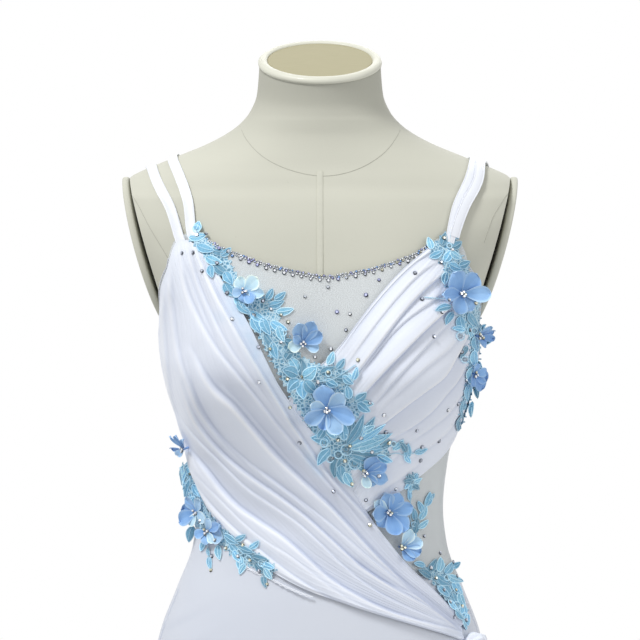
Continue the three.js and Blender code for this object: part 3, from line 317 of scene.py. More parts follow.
# Places of single stones in the picture's frame of 640 by 640: across, down and tint number
LOOSE_STONES = [
    (328, 287, 0), (305, 296.5, 0), (379, 280, 2), (366, 295, 2), (337, 312, 2), (346, 330, 1),
    (331, 349, 0), (315, 357, 0), (350, 314, 0), (415, 273, 1), (422, 299, 1), (442, 312, 1),
    (434, 336.5, 1), (384, 415, 0), (370, 403, 1), (358, 360, 3), (182, 253, 1), (193, 252.5, 1),
    (202, 271, 1), (227, 293, 1), (232, 319, 0), (258.6, 347, 1), (259, 382, 0), (290, 407.6, 3),
    (299.7, 442.8, 1), (333.5, 491.6, 1), (370, 525, 3), (417, 430.6, 1), (439, 441, 1),
    (420.6, 460.5, 1), (422, 447, 1), (424, 536, 1), (440, 553, 1), (453, 562, 1), (457, 576, 1),
    (366, 500, 1), (396, 489, 0), (379, 476, 0), (364, 471, 3), (352, 484, 3), (345, 461, 3),
    (333, 458, 0), (372, 452, 0), (389, 443, 3), (350, 446, 3), (338, 440, 3), (361, 438, 0),
    (386, 432, 1), (263, 301, 1), (271, 309, 0), (281, 315, 3), (288, 322, 3), (254, 315, 0),
    (281, 342, 0), (270, 349, 3), (287, 379, 3), (302, 377, 3), (318, 382, 0), (328, 372, 3),
    (197, 235, 1), (206, 234, 1), (219, 248, 2), (217, 263, 1), (228, 251, 0), (444, 238, 3),
    (452, 250, 0), (441, 262, 1), (449, 300, 0), (476, 303, 3), (470, 330, 1), (462, 352, 1),
    (483, 338, 3), (466, 380, 0), (458, 404, 1), (448, 410, 0), (456, 590, 3), (450, 602, 0),
    (462, 606, 3), (444, 590, 1), (455, 617, 1), (436, 578, 3), (431, 568, 0), (466, 620, 1),
    (186, 462, 0), (190, 474, 3), (182, 450, 1), (205, 534, 3), (215, 540, 0), (226, 548, 3),
    (238, 556, 0), (250, 560, 3), (259, 571, 1), (267, 584, 3), (212, 556, 1), (211, 570, 3),
    (243, 545, 3), (200, 521, 1),
]

# Sewn lines of the form as they run in the picture: round the neck, and before each arm plate
FORM_LINES = [
    [(240, 126), (246, 139), (262, 156), (290, 170), (325, 176), (358, 169), (384, 153), (396, 138),
     (402, 126)],
    [(128, 186), (132, 195), (138, 205), (150, 228), (162, 248), (173, 267)],
    [(512, 188), (506, 196), (500, 205), (494, 215), (490, 225), (484, 243)],
]
# Picot edging below the long drape as it runs in the picture, with the count of its points
PICOT_RUNS = [
    ([(272, 578.6), (286, 586), (300, 592), (313, 596.8)], 160),
    ([(236, 558), (246, 566), (256, 572), (268, 578)], 120),
]

# Arm plates: distance out at a level, lean, ends, half depth, gap to the form and its bow
ARM = {"at": 179.1, "level": 1370, "lean": 0.2707, "low": 1246, "high": 1387, "depth": 50, "near": 1.4,
       "bow": 3.2}
# Rings of an arm plate from its boss outwards: share of its size, and distance out from its inner face
ARM_RINGS = [(0.22, 0), (0.6, 0), (0.9, 0), (0.985, 0.4), (1, 1.4), (1.003, 3), (1, 5.5), (0.985, 6.8),
             (0.94, 7.3), (0.7, 7.9), (0.4, 8.2), (0.1, 8.3)]
# Neck cap: the rim's profile as growth and rise, then the sunk disc's rings as shares
CAP_RIM = [(-0.5, 0), (0.7, 0.1), (1.3, 1.0), (1.3, 2.4), (0.7, 3.9), (-0.6, 5.1), (-2.4, 5.7), (-4.6, 5.7),
           (-6.4, 5.2), (-7.2, 4.4), (-7.4, 3.4)]
CAP_DISC = (1.0, 0.985, 0.8, 0.5, 0.2)
# Stand: radius, height and foot of the plate and the pole, then the hub as radius and rise
STAND = {"base": (200, 14, 0), "pole": (14, 729.4, 60.3)}
HUB = ((196, 1), (60, 1), (38, 1), (33, 8), (32, 10), (26.5, 25), (25.5, 1))
# Knot: angle, height, half width, half height, half depth and distance out
KNOT = (64, 930, 17, 14, 9, 11)
# The ends below the knot: angle at the top and bottom, half width at both in degrees, height at both, folds,
# the size each was cut to and the area of that
TAILS = {
    "tail_front": (62.6, 62, 1.9, 8, 930, 520, 3, (0.06, 0.41), 0.0165),
    "tail_side": (66.9, 81, 1.9, 8.5, 930, 575, 2, (0.06, 0.36), 0.0155),
}
# Half of a strap's section: share of the half width, and share of the thickness
STRAP_PROFILE = [(-1, 0.25), (-0.96, 0), (0.96, 0), (1, 0.25), (1, 0.75), (0.96, 1), (0.82, 1.04),
                 (0.76, 0.86), (0.7, 1), (0, 1.06), (-0.7, 1), (-0.76, 0.86), (-0.82, 1.04), (-0.96, 1),
                 (-1, 0.75)]
# Rows of the beaded neckline: drop below the edge, width of a stone and the gap between stones
NECKLINE_ROWS = ((0.3, 2.3, 2.5), (2.3, 2.4, 3.1), (4.6, 3.6, 8.5))
# Tints of the stones: silver, dark silver, lavender, pale gold, blue
STONE_TINTS = [(0.86, 0.9, 0.95), (0.45, 0.48, 0.55), (0.5, 0.52, 0.85), (0.88, 0.84, 0.62),
               (0.25, 0.42, 0.75)]
# Lights: place and size, in metres
LIGHTS = {"key": ((-1.5, -1.5, 4.0), 1.0), "fill": ((2.6, -1.6, 1.9), 2.2), "back": ((0.4, 2.6, 2.6), 2.2)}
LIT_PLACE = (0, 0, 1.15)

# The picture's side in pixels, and the cells that hold a first guess for a place in it
PICTURE_SIDE, CELL, CELLS = 640, 3, 220
# The camera: distance, rise, aimed height, and millimetres to a pixel at the form's axis
CAMERA = {"away": 2200, "rise": 6, "aim": 1247, "per_pixel": 0.98, "sensor": 36}
SIDE_LIMIT = 84


# The form's own surface

def hermite(t, step, start, end, start_slope, end_slope):
    """From one value to the next at a share of the step between them, with a slope at each."""
    return ((1 + 2 * t) * (1 - t) ** 2 * start + t * (1 - t) ** 2 * step * start_slope
            + t * t * (3 - 2 * t) * end + t * t * (t - 1) * step * end_slope)


def table_reader(rows):
    """Smooth reading of a table whose first column rises."""
    rows = np.array(rows, float)
    height, value = rows[:, 0], rows[:, 1:]
    rise = np.diff(value, axis=0) / np.diff(height)[:, None]
    slope = np.empty_like(value)
    slope[0], slope[-1] = rise[0], rise[-1]
    a, b = rise[:-1], rise[1:]
    same = a * b > 0
    slope[1:-1] = np.where(same, 2 * a * b / np.where(same, a + b, 1), 0)

    def read(at):
        at = np.clip(np.asarray(at, float), height[0], height[-1])
        i = np.clip(np.searchsorted(height, at, "right") - 1, 0, len(height) - 2)
        step = (height[i + 1] - height[i])[..., None]
        t = (at - height[i])[..., None] / step
        return np.moveaxis(hermite(t, step, value[i], value[i + 1], slope[i], slope[i + 1]), -1, 0)

    return read


read_form, read_skirt = table_reader(FORM), table_reader(SKIRT)


def smooth(low, high, at):
    t = np.clip((np.asarray(at, float) - low) / (high - low), 0, 1)
    return t * t * (3 - 2 * t)


def lerp(a, b, t):
    return a + (b - a) * t


def section(row, around, height, flute=0):
    """Point of a level section at an angle from the front, swelled by the bust."""
    half, middle, front, back, square = row
    s, c = np.sin(np.radians(around)), np.cos(np.radians(around))
    power = 2 / square
    x = (half + flute) * np.sign(s) * np.abs(s) ** power
    y = middle - (np.where(c > 0, front, back) + flute) * np.sign(c) * np.abs(c) ** power
    reach = np.where(height > BUST["height"], BUST["above"], BUST["below"])
    level = ((height - BUST["height"]) / reach) ** 2 / 2
    swell = sum(np.exp(-(((x - side * BUST["side"]) / BUST["wide"]) ** 2) / 2 - level) for side in (-1, 1))
    y = y - BUST["deep"] * swell * np.sqrt(np.clip(c, 0, 1))
    return np.stack(np.broadcast_arrays(x, y, height), -1).astype(float)


def garment(around, height):
    around, height = np.broadcast_arrays(np.asarray(around, float), np.asarray(height, float))
    upper = section(read_form(height), around, height)
    row = read_skirt(height)
    wave = sum(share * np.cos(np.radians(count * around + turn)) for count, share, turn in FLUTES)
    lower = section(row[:5], around, height, row[5] * wave)
    return np.where((height >= HIP_HEIGHT)[..., None], upper, lower)


def unit(v):
    return v / np.maximum(np.linalg.norm(v, axis=-1, keepdims=True), 1e-9)


def run_length(path):
    """Length along a path from its start to each of its points."""
    return np.concatenate([[0], np.cumsum(np.linalg.norm(np.diff(path, axis=0), axis=1))])


def full_turn(count):
    """Even steps once round, in radians."""
    return 2 * np.pi * np.arange(count) / count


def outward(around, height):
    turn = garment(np.asarray(around) + 0.1, height) - garment(np.asarray(around) - 0.1, height)
    climb = garment(around, np.asarray(height) + 1.0) - garment(around, np.asarray(height) - 1.0)
    return unit(np.cross(turn, climb))


def on_garment(around, height, out):
    return garment(around, height) + outward(around, height) * np.asarray(out, float)[..., None]


def edge_height(edge, around, soft=1.2):
    """Height of an edge at an angle, its corners eased over a few degrees."""
    places, heights = np.array(edge, float).T
    around, steps = np.asarray(around, float), (-1, -0.5, 0, 0.5, 1)
    return sum(np.interp(around + step * soft, places, heights) for step in steps) / len(steps)


def seam_height(around):
    return SEAM_MIDDLE - SEAM_SLOPE * np.sin(np.radians(around))


def spline(values, at):
    """Smooth curve through values, which are spread evenly along the first axis, at each share of it."""
    x = np.clip(at, 0, 1) * (len(values) - 1)
    i = np.minimum(np.floor(x).astype(int), len(values) - 2)
    t = (x - i).reshape(x.shape + (1,) * (values.ndim - 1))
    a, b, c, d = (values[np.clip(i + k, 0, len(values) - 1)] for k in (-1, 0, 1, 2))
    return 0.5 * (2 * b + (c - a) * t + (2 * a - 5 * b + 4 * c - d) * t * t
                  + (3 * b - a - 3 * c + d) * t ** 3)


def guide_places(guides, along, across):
    """Angle and height on a drape, for a row of places along it by a row of places across it."""
    followed = spline(np.swapaxes(guides, 0, 1), along)
    placed = spline(np.swapaxes(followed, 0, 1), across)
    return placed[..., 0].T, placed[..., 1].T


def even_curve(points, count):
    """A smooth curve through points that stand unevenly, in even steps."""
    points = np.array(points, float)
    knots = np.concatenate([[0], np.cumsum(np.linalg.norm(np.diff(points, axis=0), axis=1) ** 0.5)])
    rise = np.diff(points, axis=0) / np.diff(knots)[:, None]
    slope = np.empty_like(points)
    slope[0], slope[-1] = rise[0], rise[-1]
    before, after = np.diff(knots)[:-1, None], np.diff(knots)[1:, None]
    slope[1:-1] = (rise[:-1] * after + rise[1:] * before) / (before + after)

    def read(at):
        i = np.clip(np.searchsorted(knots, at, "right") - 1, 0, len(knots) - 2)
        step = (knots[i + 1] - knots[i])[:, None]
        t = (at - knots[i])[:, None] / step
        return hermite(t, step, points[i], points[i + 1], slope[i], slope[i + 1])

    fine = read(np.linspace(0, knots[-1], 12 * len(points)))
    length = run_length(fine)
    places = np.interp(np.linspace(0, length[-1], count), length, np.linspace(0, knots[-1], len(fine)))
    return read(places)


RISE = math.radians(CAMERA["rise"])
PICTURE_RIGHT = np.array([1.0, 0, 0])
PICTURE_UP = np.array([0, math.sin(RISE), math.cos(RISE)])
TO_CAMERA = np.array([0, -math.cos(RISE), math.sin(RISE)])
EYE = np.array([0, 0, CAMERA["aim"]]) + CAMERA["away"] * TO_CAMERA


def pictured(points):
    """Where points show in the picture, across and down."""
    from_aim = points - np.array([0, 0, CAMERA["aim"]])
    scale = CAMERA["away"] / (CAMERA["away"] - from_aim @ TO_CAMERA) / CAMERA["per_pixel"]
    middle = PICTURE_SIDE / 2
    return np.stack([middle + from_aim @ PICTURE_RIGHT * scale, middle - from_aim @ PICTURE_UP * scale], -1)


def sight(across, down):
    """The line of sight through a place in the picture: its start and direction."""
    middle = PICTURE_SIDE / 2
    aim = (np.array([0, 0, CAMERA["aim"]]) + (across - middle) * CAMERA["per_pixel"] * PICTURE_RIGHT
           + (middle - down) * CAMERA["per_pixel"] * PICTURE_UP)
    return EYE, unit(aim - EYE)


def crease_field(creases, places):
    """Height of the cloth at places in the picture, the painted shade over its hollows and at the foot of
    each crest, and the painted highlight along its crests.
    """
    height, painted_hollow_shade, painted_crest_highlight = (np.zeros(places.shape[:-1]) for _ in range(3))
    last = 89
    for points, high, steep, reach, deep, wide in creases:
        path = even_curve(points, last + 1)
        way = unit(np.gradient(path, axis=0))
        gap = places[..., None, :] - path
        near = np.argmin((gap ** 2).sum(-1), -1)
        offset, run = places - path[near], way[near]
        side = run[..., 0] * offset[..., 1] - run[..., 1] * offset[..., 0]
        along = (run * offset).sum(-1)
        beyond = np.where(near == 0, -along, np.where(near == last, along, 0)).clip(0)
        share = near / last
        strength = (0.25 + 0.75 * smooth(0, 0.12, share)) * (1 - 0.6 * smooth(0.75, 1, share))
        strength = strength * np.exp(-(beyond / 7) ** 2)
        crest = np.where(side > 0, (1 - np.exp(-side.clip(0) / steep)) * np.exp(-(side / reach) ** 2), 0)
        trough = np.exp(-(side / np.where(side > 0, 0.7 * steep, wide)) ** 2)
        height += strength * (high * crest - deep * trough)
        line = strength * min(1, high / 2.6)
        # Painted shade over each hollow and a painted dark line at the foot of each crest; painted highlight
        # along each crest.
        painted_hollow_shade += 0.2 * strength * deep * trough + 0.55 * line * np.exp(-((side + 0.7) / 1.5) ** 2)
        painted_crest_highlight += line * np.exp(-((side - 1.2 - 0.6 * steep) / 1.8) ** 2)
    return height, np.clip(painted_hollow_shade, 0, 1), np.clip(painted_crest_highlight - painted_hollow_shade, 0, 1)


def drape_lie(creases, around, height, along, across, lifted, depth):
    """Distance out of a drape's inner face, with the painted shade of its hollows and the painted highlight
    along its crests.
    """
    base = lerp(CLOTH_OUT + SEWN_EDGE, DRAPE_IN, smooth(0, 0.06, along))
    lift = LONG_LIFT[0] * (1 - smooth(LONG_LIFT[1], LONG_LIFT[2], across)) if lifted else 0
    inside = smooth(0, 0.07, across) * (1 - smooth(0.95, 1, across)) * smooth(0, 0.05, along)
    relief, painted_hollow_shade, painted_crest_highlight = crease_field(creases, pictured(on_garment(around, height, DRAPE_IN)))
    fine = (np.sin(2 * np.pi * (23 * across + 0.4 * np.sin(9 * across)))
            + 0.6 * np.sin(2 * np.pi * 41 * across + 1))
    fine = fine * 0.13 * (0.25 + np.abs(np.cos(np.pi * along)) ** 3)
    relief = HIGHEST_FOLD * np.tanh(relief * depth / HIGHEST_FOLD)
    out = base + lift + inside * (1.5 + fine) + (0.35 + 0.65 * inside) * relief
    return np.maximum(out, CLOTH_OUT + 0.5), painted_hollow_shade, painted_crest_highlight


def soft_folds(around, height):
    """Height of the skirt's folds and drag lines, and the painted shade beside them."""
    around, height = np.broadcast_arrays(around, height)
    out, painted_hollow_shade = np.zeros(around.shape), np.zeros(around.shape)
    for angle, half, high, top in SKIRT_FOLDS:
        fade = 1 - smooth(HEM_HEIGHT, top, height)
        bend = angle + 2.2 * np.sin((height - HEM_HEIGHT) / 90 + angle)
        beside = np.exp(-((around - bend - 1.5 * half) / half) ** 2)
        out = out + fade * (high * np.exp(-((around - bend) / half) ** 2) - 0.5 * high * beside)
        # Painted shade beside each fold.
        painted_hollow_shade = painted_hollow_shade + 0.05 * high * fade * beside
    for angle, level, spread, climb, high in DRAG_LINES:
        step = height - level - climb * (around - angle) - 0.01 * (around - angle) ** 2
        reach = np.exp(-((around - angle) / spread) ** 2)
        out = out + high * reach * (np.exp(-(step / 4.5) ** 2) - 0.6 * np.exp(-((step + 8) / 5) ** 2))
        # Painted shade just below each drag line.
        painted_hollow_shade = painted_hollow_shade + 0.22 * high * reach * np.exp(-((step + 7) / 4) ** 2)
    return out, np.clip(painted_hollow_shade, 0, 1)


# Making meshes

def only(*objects):
    """Selects these objects and nothing else."""
    bpy.ops.object.select_all(action="DESELECT")
    for o in objects:
        o.select_set(True)
    bpy.context.view_layer.objects.active = objects[0]


class Pile:
    """Collects the points and faces of one piece, with a map and a tint for each face."""

    def __init__(self):
        self.points, self.faces, self.maps, self.parts, self.tints, self.count = [], [], [], [], [], 0

    def put(self, points, faces, maps=None, part=0, tint=(1, 1, 1)):
        points = np.asarray(points, float).reshape(-1, 3)
        self.points.append(points)
        maps = np.zeros((len(points), 2)) if maps is None else maps
        self.maps.append(np.asarray(maps, float).reshape(-1, 2))
        self.faces += [[self.count + k for k in face] for face in faces]
        self.parts += [part] * len(faces)
        self.tints += [tint] * len(faces) if np.ndim(tint) == 1 else list(tint)
        self.count += len(points)

    def grid(self, points, maps=None, part=0, tint=(1, 1, 1)):
        """An open sheet from rows and columns of points."""
        rows, columns = points.shape[:2]
        r, c = np.mgrid[0:rows - 1, 0:columns - 1]
        first = (r * columns + c).ravel()
        faces = np.stack([first, first + 1, first + columns + 1, first + columns], 1)
        self.put(points, faces.tolist(), maps, part, tint)

    def loft(self, rings, part=0, tint=(1, 1, 1), closed=False, length=None):
        """A closed body through rings of points, with a fan at each end unless it runs round."""
        count, sides = rings.shape[:2]
        spans = count if closed else count - 1
        faces = [[(i % count) * sides + j, (i % count) * sides + (j + 1) % sides,
                  ((i + 1) % count) * sides + (j + 1) % sides, ((i + 1) % count) * sides + j]
                 for i in range(spans) for j in range(sides)]
        points = rings.reshape(-1, 3)
        along = np.linspace(0, 1, count) if length is None else length
        maps = np.stack(np.meshgrid(along, np.linspace(0, 1, sides), indexing="ij"), -1).reshape(-1, 2)
        if not closed:
            start, end = len(points), len(points) + 1
            points = np.concatenate([points, rings[:1].mean(1), rings[-1:].mean(1)])
            maps = np.concatenate([maps, [[along[0], 0.5]], [[along[-1], 0.5]]])
            last = (count - 1) * sides
            faces += [[start, (j + 1) % sides, j] for j in range(sides)]
            faces += [[end, last + j, last + (j + 1) % sides] for j in range(sides)]
        self.put(points, faces, maps, part, tint)

    def cord(self, path, up, radius, sides=6, part=0, tint=(1, 1, 1), closed=False):
        """A round thread along a path, whose cross-section is set by the direction up."""
        path = np.asarray(path, float)
        if closed:
            run = np.roll(path, -1, 0) - np.roll(path, 1, 0)
        else:
            run = np.gradient(path, axis=0)
        aside = unit(np.cross(unit(run), up))
        rise = unit(np.cross(aside, unit(run)))
        turn = full_turn(sides)
        rings = path[:, None] + radius * (np.cos(turn)[None, :, None] * aside[:, None]
                                          + np.sin(turn)[None, :, None] * rise[:, None])
        self.loft(rings[:, ::-1], part, tint, closed, run_length(path) / 1000)

    def make(self, name):
        """The piece as an object at the origin, in metres."""
        mesh = bpy.data.meshes.new(name)
        mesh.from_pydata((np.concatenate(self.points) * MM).tolist(), [], self.faces)
        mesh.polygons.foreach_set("material_index", np.array(self.parts, np.int32))
        corners = np.empty(len(mesh.loops), np.int32)
        mesh.loops.foreach_get("vertex_index", corners)
        mesh.uv_layers.new(name="cut").data.foreach_set(
            "uv", np.concatenate(self.maps)[corners].astype(np.float32).ravel())
        sizes = [len(face) for face in self.faces]
        colour = np.concatenate([np.array(self.tints, float).reshape(-1, 3), np.ones((len(sizes), 1))], 1)
        mesh.color_attributes.new("tint", "FLOAT_COLOR", "CORNER").data.foreach_set(
            "color", np.repeat(colour, sizes, axis=0).astype(np.float32).ravel())
        mesh.update()
        piece = bpy.data.objects.new(name, mesh)
        bpy.context.scene.collection.objects.link(piece)
        return piece


def apply(piece, kind, **settings):
    """Adds a modifier to a piece and applies it."""
    only(piece)
    modifier = piece.modifiers.new(kind.lower(), kind)
    for key, value in settings.items():
        setattr(modifier, key, value)
    bpy.ops.object.modifier_apply(modifier=modifier.name)


def dress(piece, finishes, replaces=(), sharp=40):
    """Finishes a piece: its materials, its shading, what it stands for and what it rides on."""
    for finish in finishes if isinstance(finishes, (list, tuple)) else [finishes]:
        piece.data.materials.append(finish.material)
    only(piece)
    bpy.ops.object.shade_smooth_by_angle(angle=math.radians(sharp))
    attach(piece, "root")
    if replaces:
        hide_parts(*replaces)
    return piece


def cloth_wall(name, around, height, out, wide, long, thick, lie=None):
    """A sheet of cloth from places on the form, thickened inwards, with its cut as its map."""
    points = on_garment(around, height, out)
    rows, columns = around.shape
    u, v = np.meshgrid(np.linspace(0, wide, columns), np.linspace(0, long, rows))
    normal = np.cross(points[0, 1] - points[0, 0], points[1, 0] - points[0, 0])
    if normal @ outward(around[0, 0], height[0, 0]) < 0:
        points, u, v = points[:, ::-1], u[:, ::-1], v[:, ::-1]
        lie = None if lie is None else lie[:, ::-1]
    pile = Pile()
    pile.grid(points, np.stack([u, v], -1))
    piece = pile.make(name)
    # The point colours carry painted shade in the hollows, where lace shows through, and a painted highlight
    # on the crests.
    lie = np.zeros((rows, columns, 3)) if lie is None else lie
    colour = np.concatenate([lie, np.ones((rows, columns, 1))], -1).astype(np.float32)
    piece.data.color_attributes.new("lie", "FLOAT_COLOR", "POINT").data.foreach_set("color", colour.ravel())
    apply(piece, "SOLIDIFY", thickness=thick * MM, offset=-1)
    return piece


# Materials

class Wire:
    """A socket of a finish, with the arithmetic that finishes use."""

    def __init__(self, finish, socket):
        self.finish, self.socket = finish, socket

    def sum(self, operation, other, turned=False):
        pair = (other, self) if turned else (self, other)
        return self.finish.node("Math", {"operation": operation}, dict(enumerate(pair)))

    def __add__(self, other):
        return self.sum("ADD", other)

    def __sub__(self, other):
        return self.sum("SUBTRACT", other)

    def __rsub__(self, other):
        return self.sum("SUBTRACT", other, True)

    def __mul__(self, other):
        return self.sum("MULTIPLY", other)

    __radd__, __rmul__ = __add__, __mul__


class Finish:
    """A material, made one node at a time. What is the same all over is set on the shader itself."""

    def __init__(self, name, **fixed):
        self.material = bpy.data.materials.new(name)
        self.material.use_nodes = True
        self.nodes, self.links = self.material.node_tree.nodes, self.material.node_tree.links
        self.shader = self.nodes["Principled BSDF"]
        for socket, value in fixed.items():
            self.shader.inputs[socket.replace("_", " ")].default_value = value

    def node(self, kind, settings=None, values=None, out=0):
        node = self.nodes.new("ShaderNode" + kind)
        for key, value in (settings or {}).items():
            if key == "stops":
                for place, colour in value[len(node.color_ramp.elements):]:
                    node.color_ramp.elements.new(place)
                for element, (place, colour) in zip(node.color_ramp.elements, value):
                    element.position, element.color = place, colour
            else:
                setattr(node, key, value)
        for key, value in (values or {}).items():
            if isinstance(value, Wire):
                self.links.new(value.socket, node.inputs[key])
            else:
                node.inputs[key].default_value = value
        return Wire(self, node.outputs[out])

    def feed(self, **changing):
        for socket, value in changing.items():
            self.links.new(value.socket, self.shader.inputs[socket.replace("_", " ")])
        return self

    def place(self, kind="Object"):
        return self.node("TexCoord", out=kind)

    def scaled(self, coordinates, x, y, z=1):
        return self.node("Mapping", None, {"Vector": coordinates, "Scale": (x, y, z)})

    def noise(self, coordinates, scale, detail=2, rough=0.5):
        return self.node("TexNoise", None, {"Vector": coordinates, "Scale": scale, "Detail": detail,
                                            "Roughness": rough})

    def bands(self, coordinates, scale, direction="X"):
        """Soft lines, scale of them to a unit, from 0 to 1."""
        return self.node("TexWave", {"wave_type": "BANDS", "bands_direction": direction,
                                     "wave_profile": "SIN"},
                         {"Vector": coordinates, "Scale": scale * math.pi / 10, "Distortion": 0.0})

    def mix(self, share, a, b):
        return self.node("Mix", {"data_type": "RGBA"}, {0: share, 6: a, 7: b}, out=2)

    def tinted(self, a, b):
        return self.node("Mix", {"data_type": "RGBA", "blend_type": "MULTIPLY"}, {0: 1.0, 6: a, 7: b},
                         out=2)

    def range(self, value, low, high, to_low=0.0, to_high=1.0):
        return self.node("MapRange", None, {"Value": value, "From Min": low, "From Max": high,
                                            "To Min": to_low, "To Max": to_high})

    def bump(self, height, distance, strength=1.0):
        return self.node("Bump", None, {"Height": height, "Distance": distance, "Strength": strength})

    def tint(self):
        """The tint that each face of a piece carries."""
        return self.node("Attribute", {"attribute_name": "tint"})

    def part(self, coordinates, axis, kind="XYZ"):
        return self.node("Separate" + kind, None, {0: coordinates}, out=axis)


def rgb(colour, share=1.0):
    return (colour[0] * share, colour[1] * share, colour[2] * share, 1.0)


def make_finishes(colours):
    """Every finish of the dress, the form and the stand, by name."""
    made = {}

    linen = Finish("form_linen", Roughness=0.82, Sheen_Weight=0.08)
    place = linen.place()
    thread = linen.noise(linen.scaled(place, 900, 900, 260), 1.0, 2)
    patch = linen.noise(place, 9, 3)
    speck = linen.range(linen.noise(place, 210, 1), 0.79, 0.84)
    ground = linen.mix(patch, rgb(colours.linen, 0.95), rgb(colours.linen, 1.03))
    # Painted shade: the cover darkens up the neck towards the cap.
    painted_neck_shade = linen.range(linen.part(place, 2), 1.405, 1.475)
    ground = linen.mix(painted_neck_shade, ground, rgb(colours.linen, 0.76))
    linen.feed(Base_Color=linen.mix(speck * 0.35, ground, rgb(colours.linen, 0.6)),
               Normal=linen.bump(thread, 0.00012, 0.35))
    made["linen"] = linen

    seam = Finish("form_seam", Roughness=0.8)
    place = seam.place()
    grain = seam.noise(place, 300, 2)
    seam.feed(Base_Color=seam.mix(grain, rgb(colours.linen, 0.96), rgb(colours.linen, 1.06)),
              Normal=seam.bump(seam.noise(place, 1500, 1), 0.0001, 0.4))
    made["seam"] = seam

    line = Finish("form_line", Roughness=0.85)
    line.feed(Base_Color=line.mix(line.noise(line.place(), 300, 2), rgb(colours.linen, 0.62),
                                  rgb(colours.linen, 0.8)))
    made["line"] = line

    cap = Finish("cap_disc", Roughness=0.6)
    place = cap.place()
    grain = cap.noise(cap.scaled(place, 60, 420, 60), 1.0, 4, 0.6)
    cap.feed(Base_Color=cap.mix(grain, rgb(colours.cap, 0.94), rgb(colours.cap, 1.06)),
             Normal=cap.bump(grain, 0.0002, 0.3))
    made["cap"] = cap

    rim = Finish("cap_rim", Roughness=0.5, Coat_Weight=0.1)
    place = rim.place()
    grain = rim.noise(place, 40, 3)
    rim.feed(Base_Color=rim.mix(grain, rgb(colours.linen, 1.06), rgb(colours.linen, 1.16)),
             Normal=rim.bump(rim.noise(place, 500, 2), 0.0001, 0.2))
    made["rim"] = rim

    steel = Finish("stand_steel", Metallic=1.0)
    place = steel.place()
    brushed = steel.noise(steel.scaled(place, 40, 40, 1800), 1.0, 3)
    steel.feed(Base_Color=steel.mix(brushed, (0.36, 0.37, 0.38, 1), (0.5, 0.51, 0.52, 1)),
               Roughness=steel.range(brushed, 0, 1, 0.2, 0.38), Normal=steel.bump(brushed, 0.00005, 0.3))
    made["steel"] = steel

    def woven(name, bright, weave, rough, sheen):
        cloth = Finish(name, Sheen_Weight=sheen, Sheen_Roughness=0.4, Specular_IOR_Level=0.35)
        cut = cloth.place("UV")
        warp, weft = cloth.bands(cut, weave), cloth.bands(cut, weave * 0.8, "Y")
        slub = cloth.noise(cloth.scaled(cut, 30, 900), 1.0, 2)
        broad = cloth.noise(cloth.place(), 14, 2)
        lie = cloth.node("Attribute", {"attribute_name": "lie"})
        painted_hollow_shade, under, crest = (cloth.part(lie, k, "Color") for k in range(3))
        # Random mottling plus the painted shade of the fold hollows, mixed toward the shade colour.
        deep = cloth.range(broad, 0.3, 0.7, 0.0, 0.12) + painted_hollow_shade * 0.85
        patchy = cloth.range(cloth.noise(cloth.place(), 60, 3), 0.3, 0.7, 0.6, 1.2)
        # Painted highlight along the fold crests.
        tone = cloth.mix(crest * 0.8, bright, rgb(colours.crest))
        tone = cloth.mix(deep, tone, rgb(colours.shade))
        tone = cloth.mix(under * patchy, tone, rgb(colours.show_through))
        cloth.feed(Base_Color=tone, Roughness=cloth.range(slub, 0, 1, rough - 0.06, rough + 0.06),
                   Normal=cloth.bump(warp * 0.5 + weft * 0.5 + slub * 0.3, 0.00006, 0.5))
        return cloth

    made["cloth"] = woven("drape_cloth", rgb(colours.cloth), 1900, 0.55, 0.25)
    made["skirt"] = woven("skirt_cloth", rgb(colours.cloth, 0.83), 1600, 0.5, 0.2)

    net = Finish("chest_mesh", Roughness=0.75, Sheen_Weight=0.1)
    cut = net.place("UV")
    cells = net.noise(cut, 1400, 1)
    broad = net.noise(net.place(), 8, 2)
    ground = net.mix(net.range(broad, 0.3, 0.7), rgb(colours.mesh, 0.97), rgb(colours.mesh, 1.03))
    net.feed(Base_Color=ground, Alpha=net.range(cells, 0.4, 0.6, 0.52, 0.74),
             Normal=net.bump(cells, 0.00008, 0.5))
    made["mesh"] = net

    band = Finish("strap_satin", Sheen_Weight=0.2, Specular_IOR_Level=0.6)
    cut = band.place("UV")
    ribs = band.bands(cut, 1100)
    grain = band.noise(band.place(), 60, 2)
    band.feed(Base_Color=band.mix(grain, rgb(colours.strap, 0.97), rgb(colours.strap)),
              Roughness=band.range(ribs, 0, 1, 0.34, 0.46), Normal=band.bump(ribs, 0.00008, 0.5))
    made["strap"] = band

    petal = Finish("petal_satin", Sheen_Weight=0.3, Specular_IOR_Level=0.45)
    cut = petal.place("UV")
    along, across = petal.part(cut, 0), petal.part(cut, 1)
    veins = petal.noise(petal.scaled(cut, 2.5, 34), 1.0, 2)
    # Painted shade darkens each petal towards its foot, and the paler edges are painted light through the
    # thin cloth.
    edge = petal.range(across, 0.62, 1.0) + petal.range(along, 0.8, 1.0) * 0.8
    painted_heart_shade = petal.mix(petal.range(along, 0.05, 0.55), rgb(colours.petal_deep), rgb(colours.petal))
    body = petal.mix(petal.range(edge, 0.1, 1.4), painted_heart_shade, rgb(colours.petal_edge))
    streak = petal.mix(petal.range(veins, 0.35, 0.7), (0.9, 0.92, 0.96, 1), (1.04, 1.03, 1.0, 1))
    petal.feed(Base_Color=petal.tinted(petal.tinted(body, streak), petal.tint()),
               Roughness=petal.range(veins, 0, 1, 0.45, 0.62), Normal=petal.bump(veins, 0.0003, 0.5))
    made["petal"] = petal

